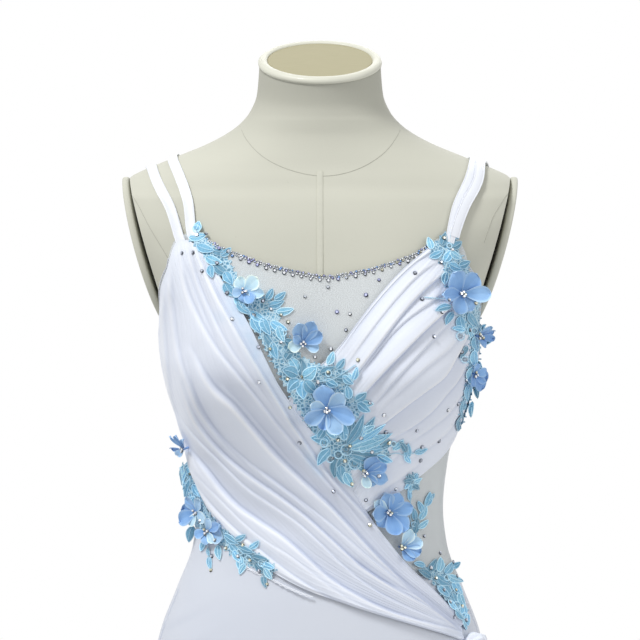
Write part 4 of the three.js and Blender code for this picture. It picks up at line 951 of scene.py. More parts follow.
    def threads(name, dark, light, scale, rough):
        lace = Finish(name, Sheen_Weight=0.15, Roughness=rough)
        cut = lace.place("UV")
        stitch = lace.bands(cut, scale)
        fleck = lace.noise(lace.place(), 900, 2, 0.7)
        broad = lace.noise(lace.place(), 120, 2)
        share = lace.range(fleck * 0.6 + stitch * 0.25 + broad * 0.35, 0.3, 0.85)
        lace.feed(Base_Color=lace.tinted(lace.mix(share, dark, light), lace.tint()),
                  Normal=lace.bump(stitch * 0.5 + fleck, 0.0004, 0.7))
        return lace

    made["leaf"] = threads("lace_stitching", rgb(colours.lace_deep), rgb(colours.lace), 1.15, 0.6)
    made["cord"] = threads("lace_cord", rgb(colours.lace), rgb(colours.lace_pale), 900, 0.5)
    ground = Finish("lace_ground", Roughness=0.65, Sheen_Weight=0.15)
    cells = ground.node("TexVoronoi", {"feature": "DISTANCE_TO_EDGE"},
                        {"Vector": ground.place(), "Scale": 300.0})
    fleck = ground.noise(ground.place(), 1000, 2, 0.7)
    patch = ground.noise(ground.place(), 140, 2)
    filling = ground.mix(ground.range(fleck * 0.6 + patch * 0.6, 0.35, 0.8), rgb(colours.lace_deep, 0.85),
                         rgb(colours.lace))
    raised = ground.range(cells, 0.05, 0.16, 1.0, 0.0)
    ground.feed(Base_Color=ground.mix(raised * 0.9, filling, rgb(colours.lace_pale, 0.95)),
                Alpha=ground.range(cells, 0.2, 0.34, 1.0, 0.45),
                Normal=ground.bump(raised + fleck * 0.5, 0.0005, 0.6))
    made["ground"] = ground

    stone = Finish("cut_stone", Metallic=0.75, Specular_IOR_Level=0.9)
    facet = stone.noise(stone.place(), 700, 0)
    stone.feed(Base_Color=stone.tinted(stone.tint(), stone.mix(facet, (0.85, 0.88, 0.95, 1), (1, 1, 1, 1))),
               Roughness=stone.range(facet, 0, 1, 0.08, 0.2))
    made["stone"] = stone
    return made


FINISHES = {}
SEATS = {}


# Settings

def colour_property(name, value, text):
    return bpy.props.FloatVectorProperty(name=name, description=text, subtype="COLOR", size=3, min=0, max=1,
                                         default=value)


def length_property(name, value, text):
    return bpy.props.FloatProperty(name=name, description=text, default=value, subtype="DISTANCE",
                                   unit="LENGTH")


def power_property(name, value, text):
    return bpy.props.FloatProperty(name=name, description=text, default=value, unit="POWER")


class DressColours(bpy.types.PropertyGroup):
    linen: colour_property("Linen", (0.61, 0.61, 0.525), "Cover of the form")
    cap: colour_property("Neck cap", (0.37, 0.34, 0.205), "Disc on top of the neck")
    cloth: colour_property("Cloth", (0.84, 0.885, 0.98), "Drapes, back and skirt where they are light")
    # Painted shade for the hollows of the folds.
    shade: colour_property("Cloth shade", (0.52, 0.575, 0.72), "Drapes, back and skirt in their hollows")
    show_through: colour_property("Show-through", (0.42, 0.63, 0.86), "Where lace shows through a drape")
    # Painted highlight along the crests of the folds.
    crest: colour_property("Cloth crests", (0.94, 0.955, 0.985), "Along the tops of the folds")
    mesh: colour_property("Mesh", (0.83, 0.87, 0.89), "Sheer mesh of the chest and waist")
    strap: colour_property("Straps", (0.86, 0.89, 0.96), "Satin of the straps")
    petal: colour_property("Petals", (0.27, 0.5, 0.86), "Petals of the flowers")
    # Painted shade at each petal's foot, and paler edges as painted light through the thin cloth.
    petal_deep: colour_property("Petal hearts", (0.14, 0.33, 0.7), "Petals near their foot")
    petal_edge: colour_property("Petal edges", (0.5, 0.72, 0.96), "Edges of the petals")
    lace: colour_property("Lace", (0.34, 0.65, 0.87), "Stitching of the lace")
    lace_deep: colour_property("Deep lace", (0.07, 0.3, 0.5), "Stitching of the lace in its hollows")
    lace_pale: colour_property("Pale lace", (0.66, 0.87, 0.97), "Cords round the lace leaves")


class DressSizes(bpy.types.PropertyGroup):
    pleat_depth: bpy.props.FloatProperty(name="Pleat depth", description="Share of the drapes' pleat height",
                                         default=1.2, min=0.2, max=2)
    stone_wide: length_property("Stone width", 4.0 * MM, "Width of a single stone")
    petal_thick: length_property("Petal thickness", 0.5 * MM, "Thickness of the petal cloth")
    cord_thick: length_property("Lace cord", 0.9 * MM, "Thickness of the cord round a lace leaf")


class DressStage(bpy.types.PropertyGroup):
    key: power_property("Key light", 84, "Power of the light in front")
    fill: power_property("Fill and back lights", 21, "Power of the lights at the side and behind")
    sky: bpy.props.FloatProperty(name="Sky", description="Strength of the light all round", default=0.46)
    floor: length_property("Floor", 2.4, "Radius of the floor")


def colours():
    return bpy.context.scene.dress_colours


def sizes():
    return bpy.context.scene.dress_sizes


# Placing on the dress

class Cover:
    """How far out the topmost cloth stands, read at any angle and height, eased down from raised edges."""

    def __init__(self, pieces, slope=0.45):
        self.angles, self.heights = np.arange(-100, 101, 1.0), np.arange(860, 1361, 2.5)
        tree = tree_of(pieces)
        around, height = np.meshgrid(self.angles, self.heights, indexing="ij")
        far = 40.0
        start, normal = on_garment(around, height, far), outward(around, height)
        out = np.full(around.shape, CLOTH_OUT)
        for i in np.ndindex(around.shape):
            hit = tree.ray_cast(Vector(start[i] * MM), Vector(-normal[i]), (far + 5) * MM)
            if hit[0] is not None:
                out[i] = max(CLOTH_OUT, far - hit[3] / MM)
        self.out = out.copy()
        for i in range(-5, 6):
            for j in range(-5, 6):
                moved = np.roll(np.roll(out, i, 0), j, 1) - slope * math.hypot(2.6 * i, 2.5 * j)
                self.out = np.maximum(self.out, moved)

    def __call__(self, around, height):
        a = np.clip(np.asarray(around, float) - self.angles[0], 0, len(self.angles) - 1.001)
        h = np.clip((np.asarray(height, float) - self.heights[0]) / 2.5, 0, len(self.heights) - 1.001)
        i, j = a.astype(int), h.astype(int)
        s, t = a - i, h - j
        o = self.out
        return (o[i, j] * (1 - s) * (1 - t) + o[i + 1, j] * s * (1 - t) + o[i, j + 1] * (1 - s) * t
                + o[i + 1, j + 1] * s * t)


def tree_of(pieces):
    """The faces of some pieces, for rays to hit."""
    points, faces = [], []
    for piece in pieces:
        start = len(points)
        points += [v.co.copy() for v in piece.data.vertices]
        faces += [[start + k for k in p.vertices] for p in piece.data.polygons]
    return BVHTree.FromPolygons(points, faces)


def seat(tree, across, down):
    """Where the line of sight meets the dress, and the way it faces there, or None."""
    eye, way = sight(across, down)
    hit = tree.ray_cast(Vector(eye * MM), Vector(way))
    if hit[0] is None:
        return None
    normal = np.array(hit[1])
    return np.array(hit[0]) / MM, normal if normal @ way < 0 else -normal


FRONT_CLOTH = ("mesh_front", "drape_bust", "drape_long", "skirt_front_cloth")


def made(*names):
    return [bpy.data.objects[name] for name in names]


# Pieces

class Piecework:
    """What the operators share."""
    bl_options = {"REGISTER"}

    def execute(self, context):
        if not FINISHES:
            FINISHES.update(make_finishes(colours()))
        self.make()
        return {"FINISHED"}


def arm_plane(height):
    return ARM["at"] + (height - ARM["level"]) * ARM["lean"]


def torso_ring(height, angles=None, tilt=0.0):
    """One level ring of the form. Where it is cut flat at the arm, a column stands on each edge."""
    row = read_form(np.array(float(height)))
    inset = lerp(INSET["cloth"], INSET["shoulder"], smooth(INSET["from"], INSET["to"], height))
    limit = arm_plane(height) + 18 * (1 - smooth(1236, 1264, height))

    def at(around):
        p = section([np.full(len(around), k) for k in row], around, np.full(len(around), float(height)))
        shrink = 1 - inset / row[2]
        p[:, 0] *= shrink
        p[:, 1] = row[1] + (p[:, 1] - row[1]) * shrink
        return p

    if angles is None:
        dense = np.linspace(0, 180, 1441)
        over = np.nonzero(at(dense)[:, 0] > limit)[0] if height > 1236 else []
        first, last = (dense[over[0]], dense[over[-1]]) if len(over) else (86, 94)
        half = np.concatenate([np.linspace(0, first, 30)[:-1], np.linspace(first, last, 17)[:-1],
                               np.linspace(last, 180, 30)])
        angles = np.concatenate([half, 360 - half[::-1][1:-1]])
    points = at(angles)
    if height > 1236:
        points[:, 0] = np.clip(points[:, 0], -limit, limit)
    points[:, 2] += (points[:, 1] - row[1]) * math.tan(math.radians(tilt))
    return points


class DRESS_OT_form(Piecework, bpy.types.Operator):
    """Covered torso with its neck, seams, neck cap and arm plates"""
    bl_idname = "dress.form"
    bl_label = "Form"

    def make(self):
        self.torso()
        self.neck_cap()
        for name, side in (("arm_plate_left", -1), ("arm_plate_right", 1)):
            self.arm_plate(name, side)
        self.seams()

    def torso(self):
        spans = ((790, 1236, 8), (1238, 1340, 3), (1341, 1401, 2), (1402, 1446, 2.5))
        heights = np.concatenate([np.arange(*span) for span in spans])
        rings = [torso_ring(height) for height in heights]
        for height in np.arange(1448, NECK_TOP + 0.1, 4):
            share = np.interp(height, (1442, 1465, NECK_TOP), (0, 0.45, 1))
            rings.append(torso_ring(height, tilt=NECK_TILT * share))
        pile = Pile()
        pile.loft(np.array(rings))
        dress(pile.make("torso_cover"), FINISHES["linen"], ["form_torso"], 38)

    def neck_cap(self):
        top = torso_ring(NECK_TOP, np.arange(0, 360, 3.0), NECK_TILT)
        hub = top.mean(0)
        spoke = unit(top - hub)
        up = np.array([0, math.sin(math.radians(-NECK_TILT)), math.cos(math.radians(NECK_TILT))])
        rim = Pile()
        rim.loft(np.array([top + spoke * grow + up * rise for grow, rise in CAP_RIM]))
        inner = top + spoke * CAP_RIM[-1][0]
        disc = [hub + (inner - hub) * share + up * (4.2 + 0.3 * (1 - share ** 4)) for share in CAP_DISC]
        disc[0] = disc[0] - up * 1.2
        rim.loft(np.array(disc), part=1)
        dress(rim.make("neck_cap"), [FINISHES["rim"], FINISHES["cap"]], ["form_neck_cap"], 50)

    def arm_plate(self, name, side):
        middle, slope = (ARM["low"] + ARM["high"]) / 2, math.hypot(1, ARM["lean"])
        half = (ARM["high"] - ARM["low"]) / 2 * slope
        turn = full_turn(64)

        def face(share, out, boss=False):
            up = half * share * np.sin(turn)
            height = middle + up / slope
            bow = ARM["near"] + ARM["bow"] * (1 - (share * np.sin(turn)) ** 2)
            reach = arm_plane(height) + (0.3 if boss else bow + out)
            return np.stack([side * reach, -ARM["depth"] * share * np.cos(turn) - 2, height], -1)

        rings = np.array([face(0.2, 0, True), *(face(share, out) for share, out in ARM_RINGS)])
        pile = Pile()
        pile.loft(rings if side < 0 else rings[:, ::-1])
        dress(pile.make(name), FINISHES["linen"], ["form_" + name], 50)

    def seams(self):
        """The raised tape down the centre front, and the sewn lines at the neck and the armholes."""
        tree = tree_of(made("torso_cover"))
        pile = Pile()
        heights = np.linspace(1250, 1396, 60)
        middle, normal = garment(0, heights), outward(0, heights)
        wide, rise = 2.7, 0.5
        tape = [(-wide, -0.5), (-wide, rise * 0.6), (-wide * 0.85, rise), (wide * 0.85, rise),
                (wide, rise * 0.6), (wide, -0.5)]
        pile.loft(np.array([[m + np.array([a, 0, 0]) + n * (b - 1.0 * (1 - smooth(1300, 1345, m[2])))
                             for a, b in tape] for m, n in zip(middle, normal)]))
        for line in FORM_LINES:
            hits = [hit for hit in (seat(tree, *p) for p in even_curve(line, 40)) if hit]
            pile.cord([hit[0] for hit in hits], np.array([hit[1] for hit in hits]), 0.32, 6, part=1)
        under = torso_ring(NECK_TOP, np.arange(0, 360, 3.0), NECK_TILT)
        round_hub = unit(under - under.mean(0))
        pile.cord(under + round_hub * 0.35 - (0, 0, 0.3), round_hub, 0.55, 6, part=1, closed=True)
        back = np.linspace(1240, 1430, 40)
        spine, facing = garment(180.0, back), outward(180.0, back)
        pile.cord(spine + facing * -0.1, facing, 0.45, 6, part=1)
        dress(pile.make("form_seams"), [FINISHES["seam"], FINISHES["line"]], (), 50)


class DRESS_OT_stand(Piecework, bpy.types.Operator):
    """Round base with its hub, and the pole"""
    bl_idname = "dress.stand"
    bl_label = "Stand"

    def make(self):
        for name, (radius, high, foot) in STAND.items():
            self.turned(name, radius, high, foot)

    def turned(self, name, radius, high, foot):
        bpy.ops.object.select_all(action="DESELECT")
        bpy.ops.mesh.primitive_cylinder_add(vertices=128 if radius > 50 else 48, radius=radius * MM,
                                            depth=high * MM, location=(0, 0, (foot + high / 2) * MM))
        piece = bpy.context.object
        piece.name = piece.data.name = "stand_" + name + "_turned"
        bpy.ops.object.transform_apply(location=True, rotation=True, scale=True)
        if name == "base":
            bpy.ops.object.mode_set(mode="EDIT")
            bpy.ops.mesh.select_all(action="DESELECT")
            bpy.ops.object.mode_set(mode="OBJECT")
            for p in piece.data.polygons:
                p.select = p.normal.z > 0.9
            bpy.ops.object.mode_set(mode="EDIT")
            for inner, rise in HUB:
                bpy.ops.mesh.extrude_region_move(TRANSFORM_OT_translate={"value": (0, 0, rise * MM)})
                share = inner / radius
                bpy.ops.transform.resize(value=(share, share, 1), center_override=(0, 0, 0))
                radius = inner
            bpy.ops.object.mode_set(mode="OBJECT")
        apply(piece, "BEVEL", width=0.0012, segments=3, limit_method="ANGLE")
        dress(piece, FINISHES["steel"], ["stand_" + name], 30)


class DRESS_OT_bodice(Piecework, bpy.types.Operator):
    """Sheer mesh front and plain low back"""
    bl_idname = "dress.bodice"
    bl_label = "Bodice"

    def make(self):
        self.panel("mesh_front", -SIDE, SIDE, FRONT_TOP, (150, 90), "mesh", "mesh", ["front_mesh"],
                   (0.47, 0.345), 0.108)
        self.panel("bodice_back", 180 - SIDE, 180 + SIDE, BACK_TOP, (110, 60), "skirt", "cloth",
                   ["back_bodice"], (0.35, 0.25), 0.06)

    def panel(self, name, start, end, top, steps, finish, slot, replaces, flat, area):
        around = np.linspace(start, end, steps[0])
        inner = 180 - np.abs(around - 180) if start > 0 else around
        low, high = seam_height(around) + 0.3, edge_height(top, inner)
        rows = np.linspace(0, 1, steps[1])[:, None]
        height = lerp(low, high, rows)
        around = np.broadcast_to(around, height.shape)
        out, painted_hollow_shade = soft_folds(around, height) if start > 0 else np.zeros((2, *height.shape))
        edge = smooth(0, 0.06, rows) * (1 - smooth(0.94, 1, rows))
        piece = cloth_wall(name, around, height, CLOTH_OUT + np.maximum(out, -0.6) * edge, flat[0], flat[1],
                           CLOTH_OUT - CLOTH_IN, np.stack([painted_hollow_shade, 0 * painted_hollow_shade, 0 * painted_hollow_shade], -1))
        dress(piece, FINISHES[finish], replaces)


class DRESS_OT_skirt(Piecework, bpy.types.Operator):
    """Skirt front and back, from the hip seam to the hem"""
    bl_idname = "dress.skirt"
    bl_label = "Skirt"

    def make(self):
        for name, start, replaces in (("skirt_front_cloth", -SIDE, "skirt_front"),
                                      ("skirt_back_cloth", 180 - SIDE, "skirt_back")):
            around = np.linspace(start, start + 2 * SIDE, 156)
            low = np.linspace(HEM_HEIGHT, HIP_HEIGHT, 70)[:, None]
            high = lerp(HIP_HEIGHT, seam_height(around), np.linspace(0, 1, 38)[1:, None])
            height = np.concatenate([np.broadcast_to(low, (len(low), len(around))), high])
            around = np.broadcast_to(around, height.shape)
            side = np.radians(around)
            soft = smooth(HEM_HEIGHT - 1, 860, height)
            ripple = (1 - soft) * (1.6 * np.sin(19 * side + 0.006 * height) + 1.1 * np.sin(31 * side + 1.3))
            hem = -0.8 * np.exp(-((height - HEM_HEIGHT - 16) / 1.6) ** 2)
            out, painted_hollow_shade = soft_folds(around, height)
            free = 0.6 + 4 * (1 - smooth(600, 790, height))
            top = 1 - smooth(-12, 0, height - seam_height(around))
            out = np.maximum(out * top + ripple, -free)
            piece = cloth_wall(name, around, height, CLOTH_OUT + out + hem, 0.8, 0.72, CLOTH_OUT - CLOTH_IN,
                               np.stack([painted_hollow_shade, 0 * painted_hollow_shade, 0 * painted_hollow_shade], -1))
            dress(piece, FINISHES["skirt"], [replaces])


class DRESS_OT_drapes(Piecework, bpy.types.Operator):
    """The two pleated drapes of the bodice"""
    bl_idname = "dress.drapes"
    bl_label = "Drapes"

    def make(self):
        self.drape("bust", BUST_GUIDES, BUST_CREASES, False, (150, 230), (0.3, 0.24), 0.05)
        self.drape("long", LONG_GUIDES, LONG_CREASES, True, (170, 280), (0.5, 0.3), 0.085)

    def drape(self, name, guides, creases, lifted, steps, flat, area):
        along, across = np.linspace(0, 1, steps[0]), np.linspace(0, 1, steps[1])
        around, height = guide_places(guides, along, across)
        along, across = along[:, None], across[None, :]
        depth = sizes().pleat_depth
        out, painted_hollow_shade, painted_crest_highlight = drape_lie(creases, around, height, along, across, lifted, depth)
        out = out + DRAPE_THICK
        hem = np.minimum(across, 1 - across) * 130
        out = out + 0.5 * np.exp(-((hem - 0.8) / 0.7) ** 2) - 0.25 * np.exp(-((hem - 3.2) / 0.7) ** 2)
        places = pictured(on_garment(around, height, out))
        under = np.zeros(around.shape)
        for x, y, long, wide, lean, strength in SHOW_THROUGH if lifted else ():
            turn = math.radians(lean)
            step = places - (x, y)
            run = step[..., 0] * math.cos(turn) - step[..., 1] * math.sin(turn)
            side = step[..., 0] * math.sin(turn) + step[..., 1] * math.cos(turn)
            under += strength * np.exp(-(run / long) ** 2 - (side / wide) ** 2)
        piece = cloth_wall("drape_" + name, around, height, out, flat[1], flat[0], DRAPE_THICK * 0.8,
                           np.stack([painted_hollow_shade, under, painted_crest_highlight], -1))
        dress(piece, FINISHES["cloth"], [name + "_drape"])


class DRESS_OT_knot(Piecework, bpy.types.Operator):
    """Knot at the hip and the two ends that fall from it"""
    bl_idname = "dress.knot"
    bl_label = "Hip knot"

    def make(self):
        around, height, wide, high, deep, out = KNOT
        centre = on_garment(around, height, out)
        normal = outward(around, height)
        aside = unit(np.array([-normal[1], normal[0], 0]))
        above = np.cross(normal, aside)
        slant = np.pi * np.linspace(0.04, 0.96, 48)[:, None]
        turn = full_turn(110)[None, :]
        folds = 0.07 * np.cos(5 * turn + 2 * slant) + 0.05 * np.cos(9 * turn - 3 * slant)
        fold_over = 0.06 * np.exp(-((np.cos(turn * 0.5 + slant) / 0.12) ** 2))
        fat = np.sin(slant) ** 0.85 * (1 + folds - fold_over)
        rings = (centre + wide * np.cos(slant)[..., None] * aside
                 + high * (fat * np.sin(turn))[..., None] * above
                 + deep * (fat * np.cos(turn))[..., None] * normal)
        pile = Pile()
        pile.loft(rings)
        dress(pile.make("knot_roll"), FINISHES["cloth"], ["hip_knot"], 60)
        for name, cut in TAILS.items():
            self.tail(name, *cut)

    def tail(self, name, top, bottom, top_half, bottom_half, start, end, waves, flat, area):
        along, across = np.meshgrid(np.linspace(0, 1, 80), np.linspace(0, 1, 52), indexing="ij")
        slant = 18 * (across - 0.5)
        height = lerp(start, end - slant * 2, along ** 1.1)
        half = lerp(top_half, bottom_half, smooth(0, 1, along))
        around = lerp(top, bottom, along) + half * (2 * across - 1)
        turn = 2 * np.pi * waves * across + 0.5 * np.sin(5 * along)
        wave = lerp(1.5, 5, along) * (0.5 - 0.5 * np.cos(turn))
        fine = 0.5 * np.sin(2 * np.pi * (waves * 2 + 1) * across + 3 * along) * (1 - 0.5 * along)
        rest = lerp(CLOTH_OUT + 1, DRAPE_IN + 1, smooth(0, 0.2, along))
        out = rest + wave + np.maximum(fine, -0.3) + DRAPE_THICK
        piece = cloth_wall(name + "_cloth", around, height, out, 0.07, 0.41, DRAPE_THICK * 0.8)
        dress(piece, FINISHES["cloth"], [name])


class DRESS_OT_straps(Piecework, bpy.types.Operator):
    """Four satin straps"""
    bl_idname = "dress.straps"
    bl_label = "Straps"

    def make(self):
        tree = tree_of(made("torso_cover"))
        for name, (out, path) in STRAPS.items():
            around, height = np.array(path, float).T
            centre = even_curve(on_garment(around, height, out), 150)
            hits = [tree.find_nearest(Vector(p * MM)) for p in centre]
            lying = np.array([hit[0] for hit in hits]) / MM
            normal = unit(centre - lying)
            facing = np.array([hit[1] for hit in hits])
            normal = unit(np.where(((normal * facing).sum(-1) > 0.5)[:, None], normal, facing))
            for _ in range(12):
                normal[1:-1] = unit(normal[:-2] + normal[1:-1] * 2 + normal[2:])
            rise = np.maximum(((centre - lying) * normal).sum(-1), out)
            for _ in range(12):
                rise[1:-1] = np.maximum((rise[:-2] + rise[1:-1] * 2 + rise[2:]) / 4, out)
            share = np.linspace(0, 1, 150)
            sewn = max(0.0, 2.4 - out) * (1 - smooth(0, 0.05, share) + smooth(0.95, 1, share))
            centre = lying + normal * (rise - out + 0.3 + sewn)[:, None]
            aside = unit(np.cross(unit(np.gradient(centre, axis=0)), normal))
            half, thick = STRAP_WIDE / 2, STRAP_THICK
            rings = np.stack([centre + aside * half * a + normal * (out + thick * b)
                              for a, b in STRAP_PROFILE], 1)
            pile = Pile()
            length = run_length(centre) / 1000
            pile.loft(rings, length=length)
            piece = pile.make(name + "_satin")
            dress(piece, FINISHES["strap"], [name], 50)


class Picture:
    """Finds the place on the form, by angle and height, that shows at a place in the picture."""

    def __init__(self, cover):
        self.cover = cover
        around, height = np.meshgrid(np.arange(-SIDE_LIMIT, SIDE_LIMIT + 1, 1.0), np.arange(880, 1361, 2.0),
                                     indexing="ij")
        self.known = np.stack([around.ravel(), height.ravel()], -1)
        cell = self.cell(self.look(self.known))
        self.start = np.full((CELLS, CELLS), -1)
        self.start[cell[:, 0], cell[:, 1]] = np.arange(len(cell))
        while (self.start < 0).any():
            for step, axis in ((1, 0), (-1, 0), (1, 1), (-1, 1)):
                self.start = np.where(self.start < 0, np.roll(self.start, step, axis), self.start)

    def cell(self, seen):
        return (seen // CELL).astype(int).clip(0, CELLS - 1)

    def look(self, places):
        return pictured(on_garment(places[..., 0], places[..., 1], CLOTH_OUT))

    def find(self, wanted):
        """Places on the form for places in the picture, and what is left over beyond its outline."""
        wanted = np.asarray(wanted, float)
        flat = wanted.reshape(-1, 2)
        cell = self.cell(flat)
        places = self.known[self.start[cell[:, 0], cell[:, 1]]]
        for _ in range(5):
            seen = self.look(places)
            turned = (self.look(places + (0.3, 0)) - seen) / 0.3
            climbed = (self.look(places + (0, 1)) - seen)
            gap = flat - seen
            flatness = turned[:, 0] * climbed[:, 1] - turned[:, 1] * climbed[:, 0]
            flatness = np.where(np.abs(flatness) < 0.25, np.where(flatness < 0, -0.25, 0.25), flatness)
            turn = (gap[:, 0] * climbed[:, 1] - gap[:, 1] * climbed[:, 0]) / flatness
            climb = (turned[:, 0] * gap[:, 1] - turned[:, 1] * gap[:, 0]) / flatness
            places = places + np.stack([turn.clip(-4, 4), climb.clip(-5, 5)], -1)
            places[:, 0] = places[:, 0].clip(-SIDE_LIMIT, SIDE_LIMIT)
        left = (flat - self.look(places)).clip(-14, 14)
        return places.reshape(wanted.shape), left.reshape(wanted.shape)

    def lay(self, wanted, lift):
        """Points laid on the dress where they show at places in the picture, lifted off the cloth."""
        places, left = self.find(wanted)
        around, height = places[..., 0], places[..., 1]
        point = on_garment(around, height, self.cover(around, height) + lift)
        beyond = left[..., :1] * PICTURE_RIGHT - left[..., 1:] * PICTURE_UP
        return point + beyond * CAMERA["per_pixel"]

    def facing(self, wanted):
        places, _ = self.find(wanted)
        return outward(places[..., 0], places[..., 1])


def inside_outline(outline, places):
    """Whether places in the picture lie inside an outline, counting the edges to one side of each."""
    outline = np.array(outline, float)
    found = np.zeros(places.shape[:-1], bool)
    x, y = places[..., 0], places[..., 1]
    for (ax, ay), (bx, by) in zip(outline, np.roll(outline, -1, 0)):
        crosses = (ay > y) != (by > y)
        at = ax + (y - ay) / (by - ay if by != ay else 1) * (bx - ax)
        found ^= crosses & (x < at)
    return found


def leaf_half(share):
    return np.sin(np.pi * np.clip(share, 0, 1) ** 0.78) ** 0.8


class DRESS_OT_lace(Piecework, bpy.types.Operator):
    """Corded lace along the neckline, waist, bust and hips"""
    bl_idname = "dress.lace"
    bl_label = "Lace"

    def make(self):
        SEATS["picture"] = Picture(Cover(made(*FRONT_CLOTH)))
        rng = np.random.default_rng(7)
        cord = sizes().cord_thick / MM / 2
        for name, (motifs, outline, leaves, eyelets, stems) in LACE_LENGTHS.items():
            self.ground(name, outline)
            pile = Pile()
            for number, (x, y, length, width, lean) in enumerate(leaves):
                tone = rng.choice([0.72, 0.9, 1.05, 1.25], p=[0.25, 0.3, 0.3, 0.15])
                tint = (tone * 0.98, tone, tone) if number % 5 else (1.3, 1.22, 1.15)
                self.leaf(pile, x, y, length, width * 0.92, lean, tint, cord, 0.5 + 0.35 * (number % 3))
            for x, y, radius in eyelets:
                turn = full_turn(12)
                path = np.stack([x + radius * np.cos(turn), y + radius * np.sin(turn)], -1)
                self.thread(pile, path, cord * 1.25, 1.5, True, 1.25)
                self.thread(pile, (path - (x, y)) * 0.45 + (x, y), cord, 1.3, True, 0.5)
            for stem in stems:
                self.thread(pile, even_curve(stem, 5 * len(stem)), cord * 1.2, 1.2, False, 0.95)
            dress(pile.make(name), [FINISHES["leaf"], FINISHES["cord"]], motifs, 60)

    def thread(self, pile, path, radius, lift, closed, tone):
        laid = SEATS["picture"].lay(path, lift)
        pile.cord(laid, SEATS["picture"].facing(path), radius, 5, part=1, tint=(tone,) * 3, closed=closed)

    def leaf(self, pile, x, y, length, width, lean, tint, cord, lift):
        """One stitched leaf, domed, with the cord round it and its rib."""
        way = np.array([math.cos(math.radians(lean)), -math.sin(math.radians(lean))])
        cross = np.array([-way[1], way[0]])
        share, turn = np.linspace(0, 1, 11), full_turn(10)
        half = width / 2 * leaf_half(share)[:, None] + 0.05
        bend = 0.06 * length * np.sin(np.pi * share)[:, None]
        places = (np.array([x, y]) + (length * share)[:, None, None] * way
                  + (half * np.cos(turn) + bend)[..., None] * cross)
        height = lift + (0.25 + 0.55 * np.maximum(np.sin(turn), -0.4))[None, :] * (0.3 + half / width * 1.6)
        maps = np.stack(np.broadcast_arrays(length * share[:, None], half * np.cos(turn)), -1)
        pile.loft(SEATS["picture"].lay(places, height)[:, ::-1], tint=tint)
        pile.maps[-1][:maps[..., 0].size] = maps[:, ::-1].reshape(-1, 2)
        round_it = np.concatenate([share, share[::-1][1:-1]])
        side = np.concatenate([np.ones(11), -np.ones(9)])
        edge = (width / 2 * leaf_half(round_it) + 0.1) * side + 0.06 * length * np.sin(np.pi * round_it)
        path = np.array([x, y]) + (length * round_it)[:, None] * way + edge[:, None] * cross
        laid = SEATS["picture"].lay(path, lift + 0.45)
        facing = SEATS["picture"].facing(path)
        pile.cord(laid, facing, cord, 5, part=1, tint=tuple(1.1 * c for c in tint), closed=True)
        run = np.linspace(0.08, 0.86, 7)
        rib = (np.array([x, y]) + (length * run)[:, None] * way
               + (0.06 * length * np.sin(np.pi * run))[:, None] * cross)
        laid, facing = SEATS["picture"].lay(rib, lift + 1.05), SEATS["picture"].facing(rib)
        pile.cord(laid, facing, cord * 0.8, 5, part=1, tint=tuple(1.05 * c for c in tint))

    def ground(self, name, outline):
        """The net that carries the leaves, cut along its outline."""
        outline = np.array(outline, float)
        low, high = outline.min(0) - 2, outline.max(0) + 2
        places = np.stack(np.meshgrid(np.arange(low[0], high[0], 1.3), np.arange(low[1], high[1], 1.3)), -1)
        ragged = 1.6 * np.stack([np.sin(places[..., 1] * 1.1), np.cos(places[..., 0] * 1.3)], -1)
        kept = inside_outline(outline, places + ragged)
        corners = kept[:-1, :-1] & kept[1:, :-1] & kept[:-1, 1:] & kept[1:, 1:]
        used = np.zeros(kept.shape, bool)
        for i in (0, 1):
            for j in (0, 1):
                used[i:kept.shape[0] - 1 + i, j:kept.shape[1] - 1 + j] |= corners
        number = np.cumsum(used.ravel()).reshape(used.shape) - 1
        laid = SEATS["picture"].lay(places[used], 0.55)
        r, c = np.nonzero(corners)
        faces = np.stack([number[r, c], number[r + 1, c], number[r + 1, c + 1], number[r, c + 1]], 1)
        pile = Pile()
        pile.put(laid, faces.tolist(), places[used])
        piece = pile.make(name + "_ground")
        apply(piece, "SOLIDIFY", thickness=0.35 * MM, offset=-1)
        dress(piece, FINISHES["ground"], (), 60)


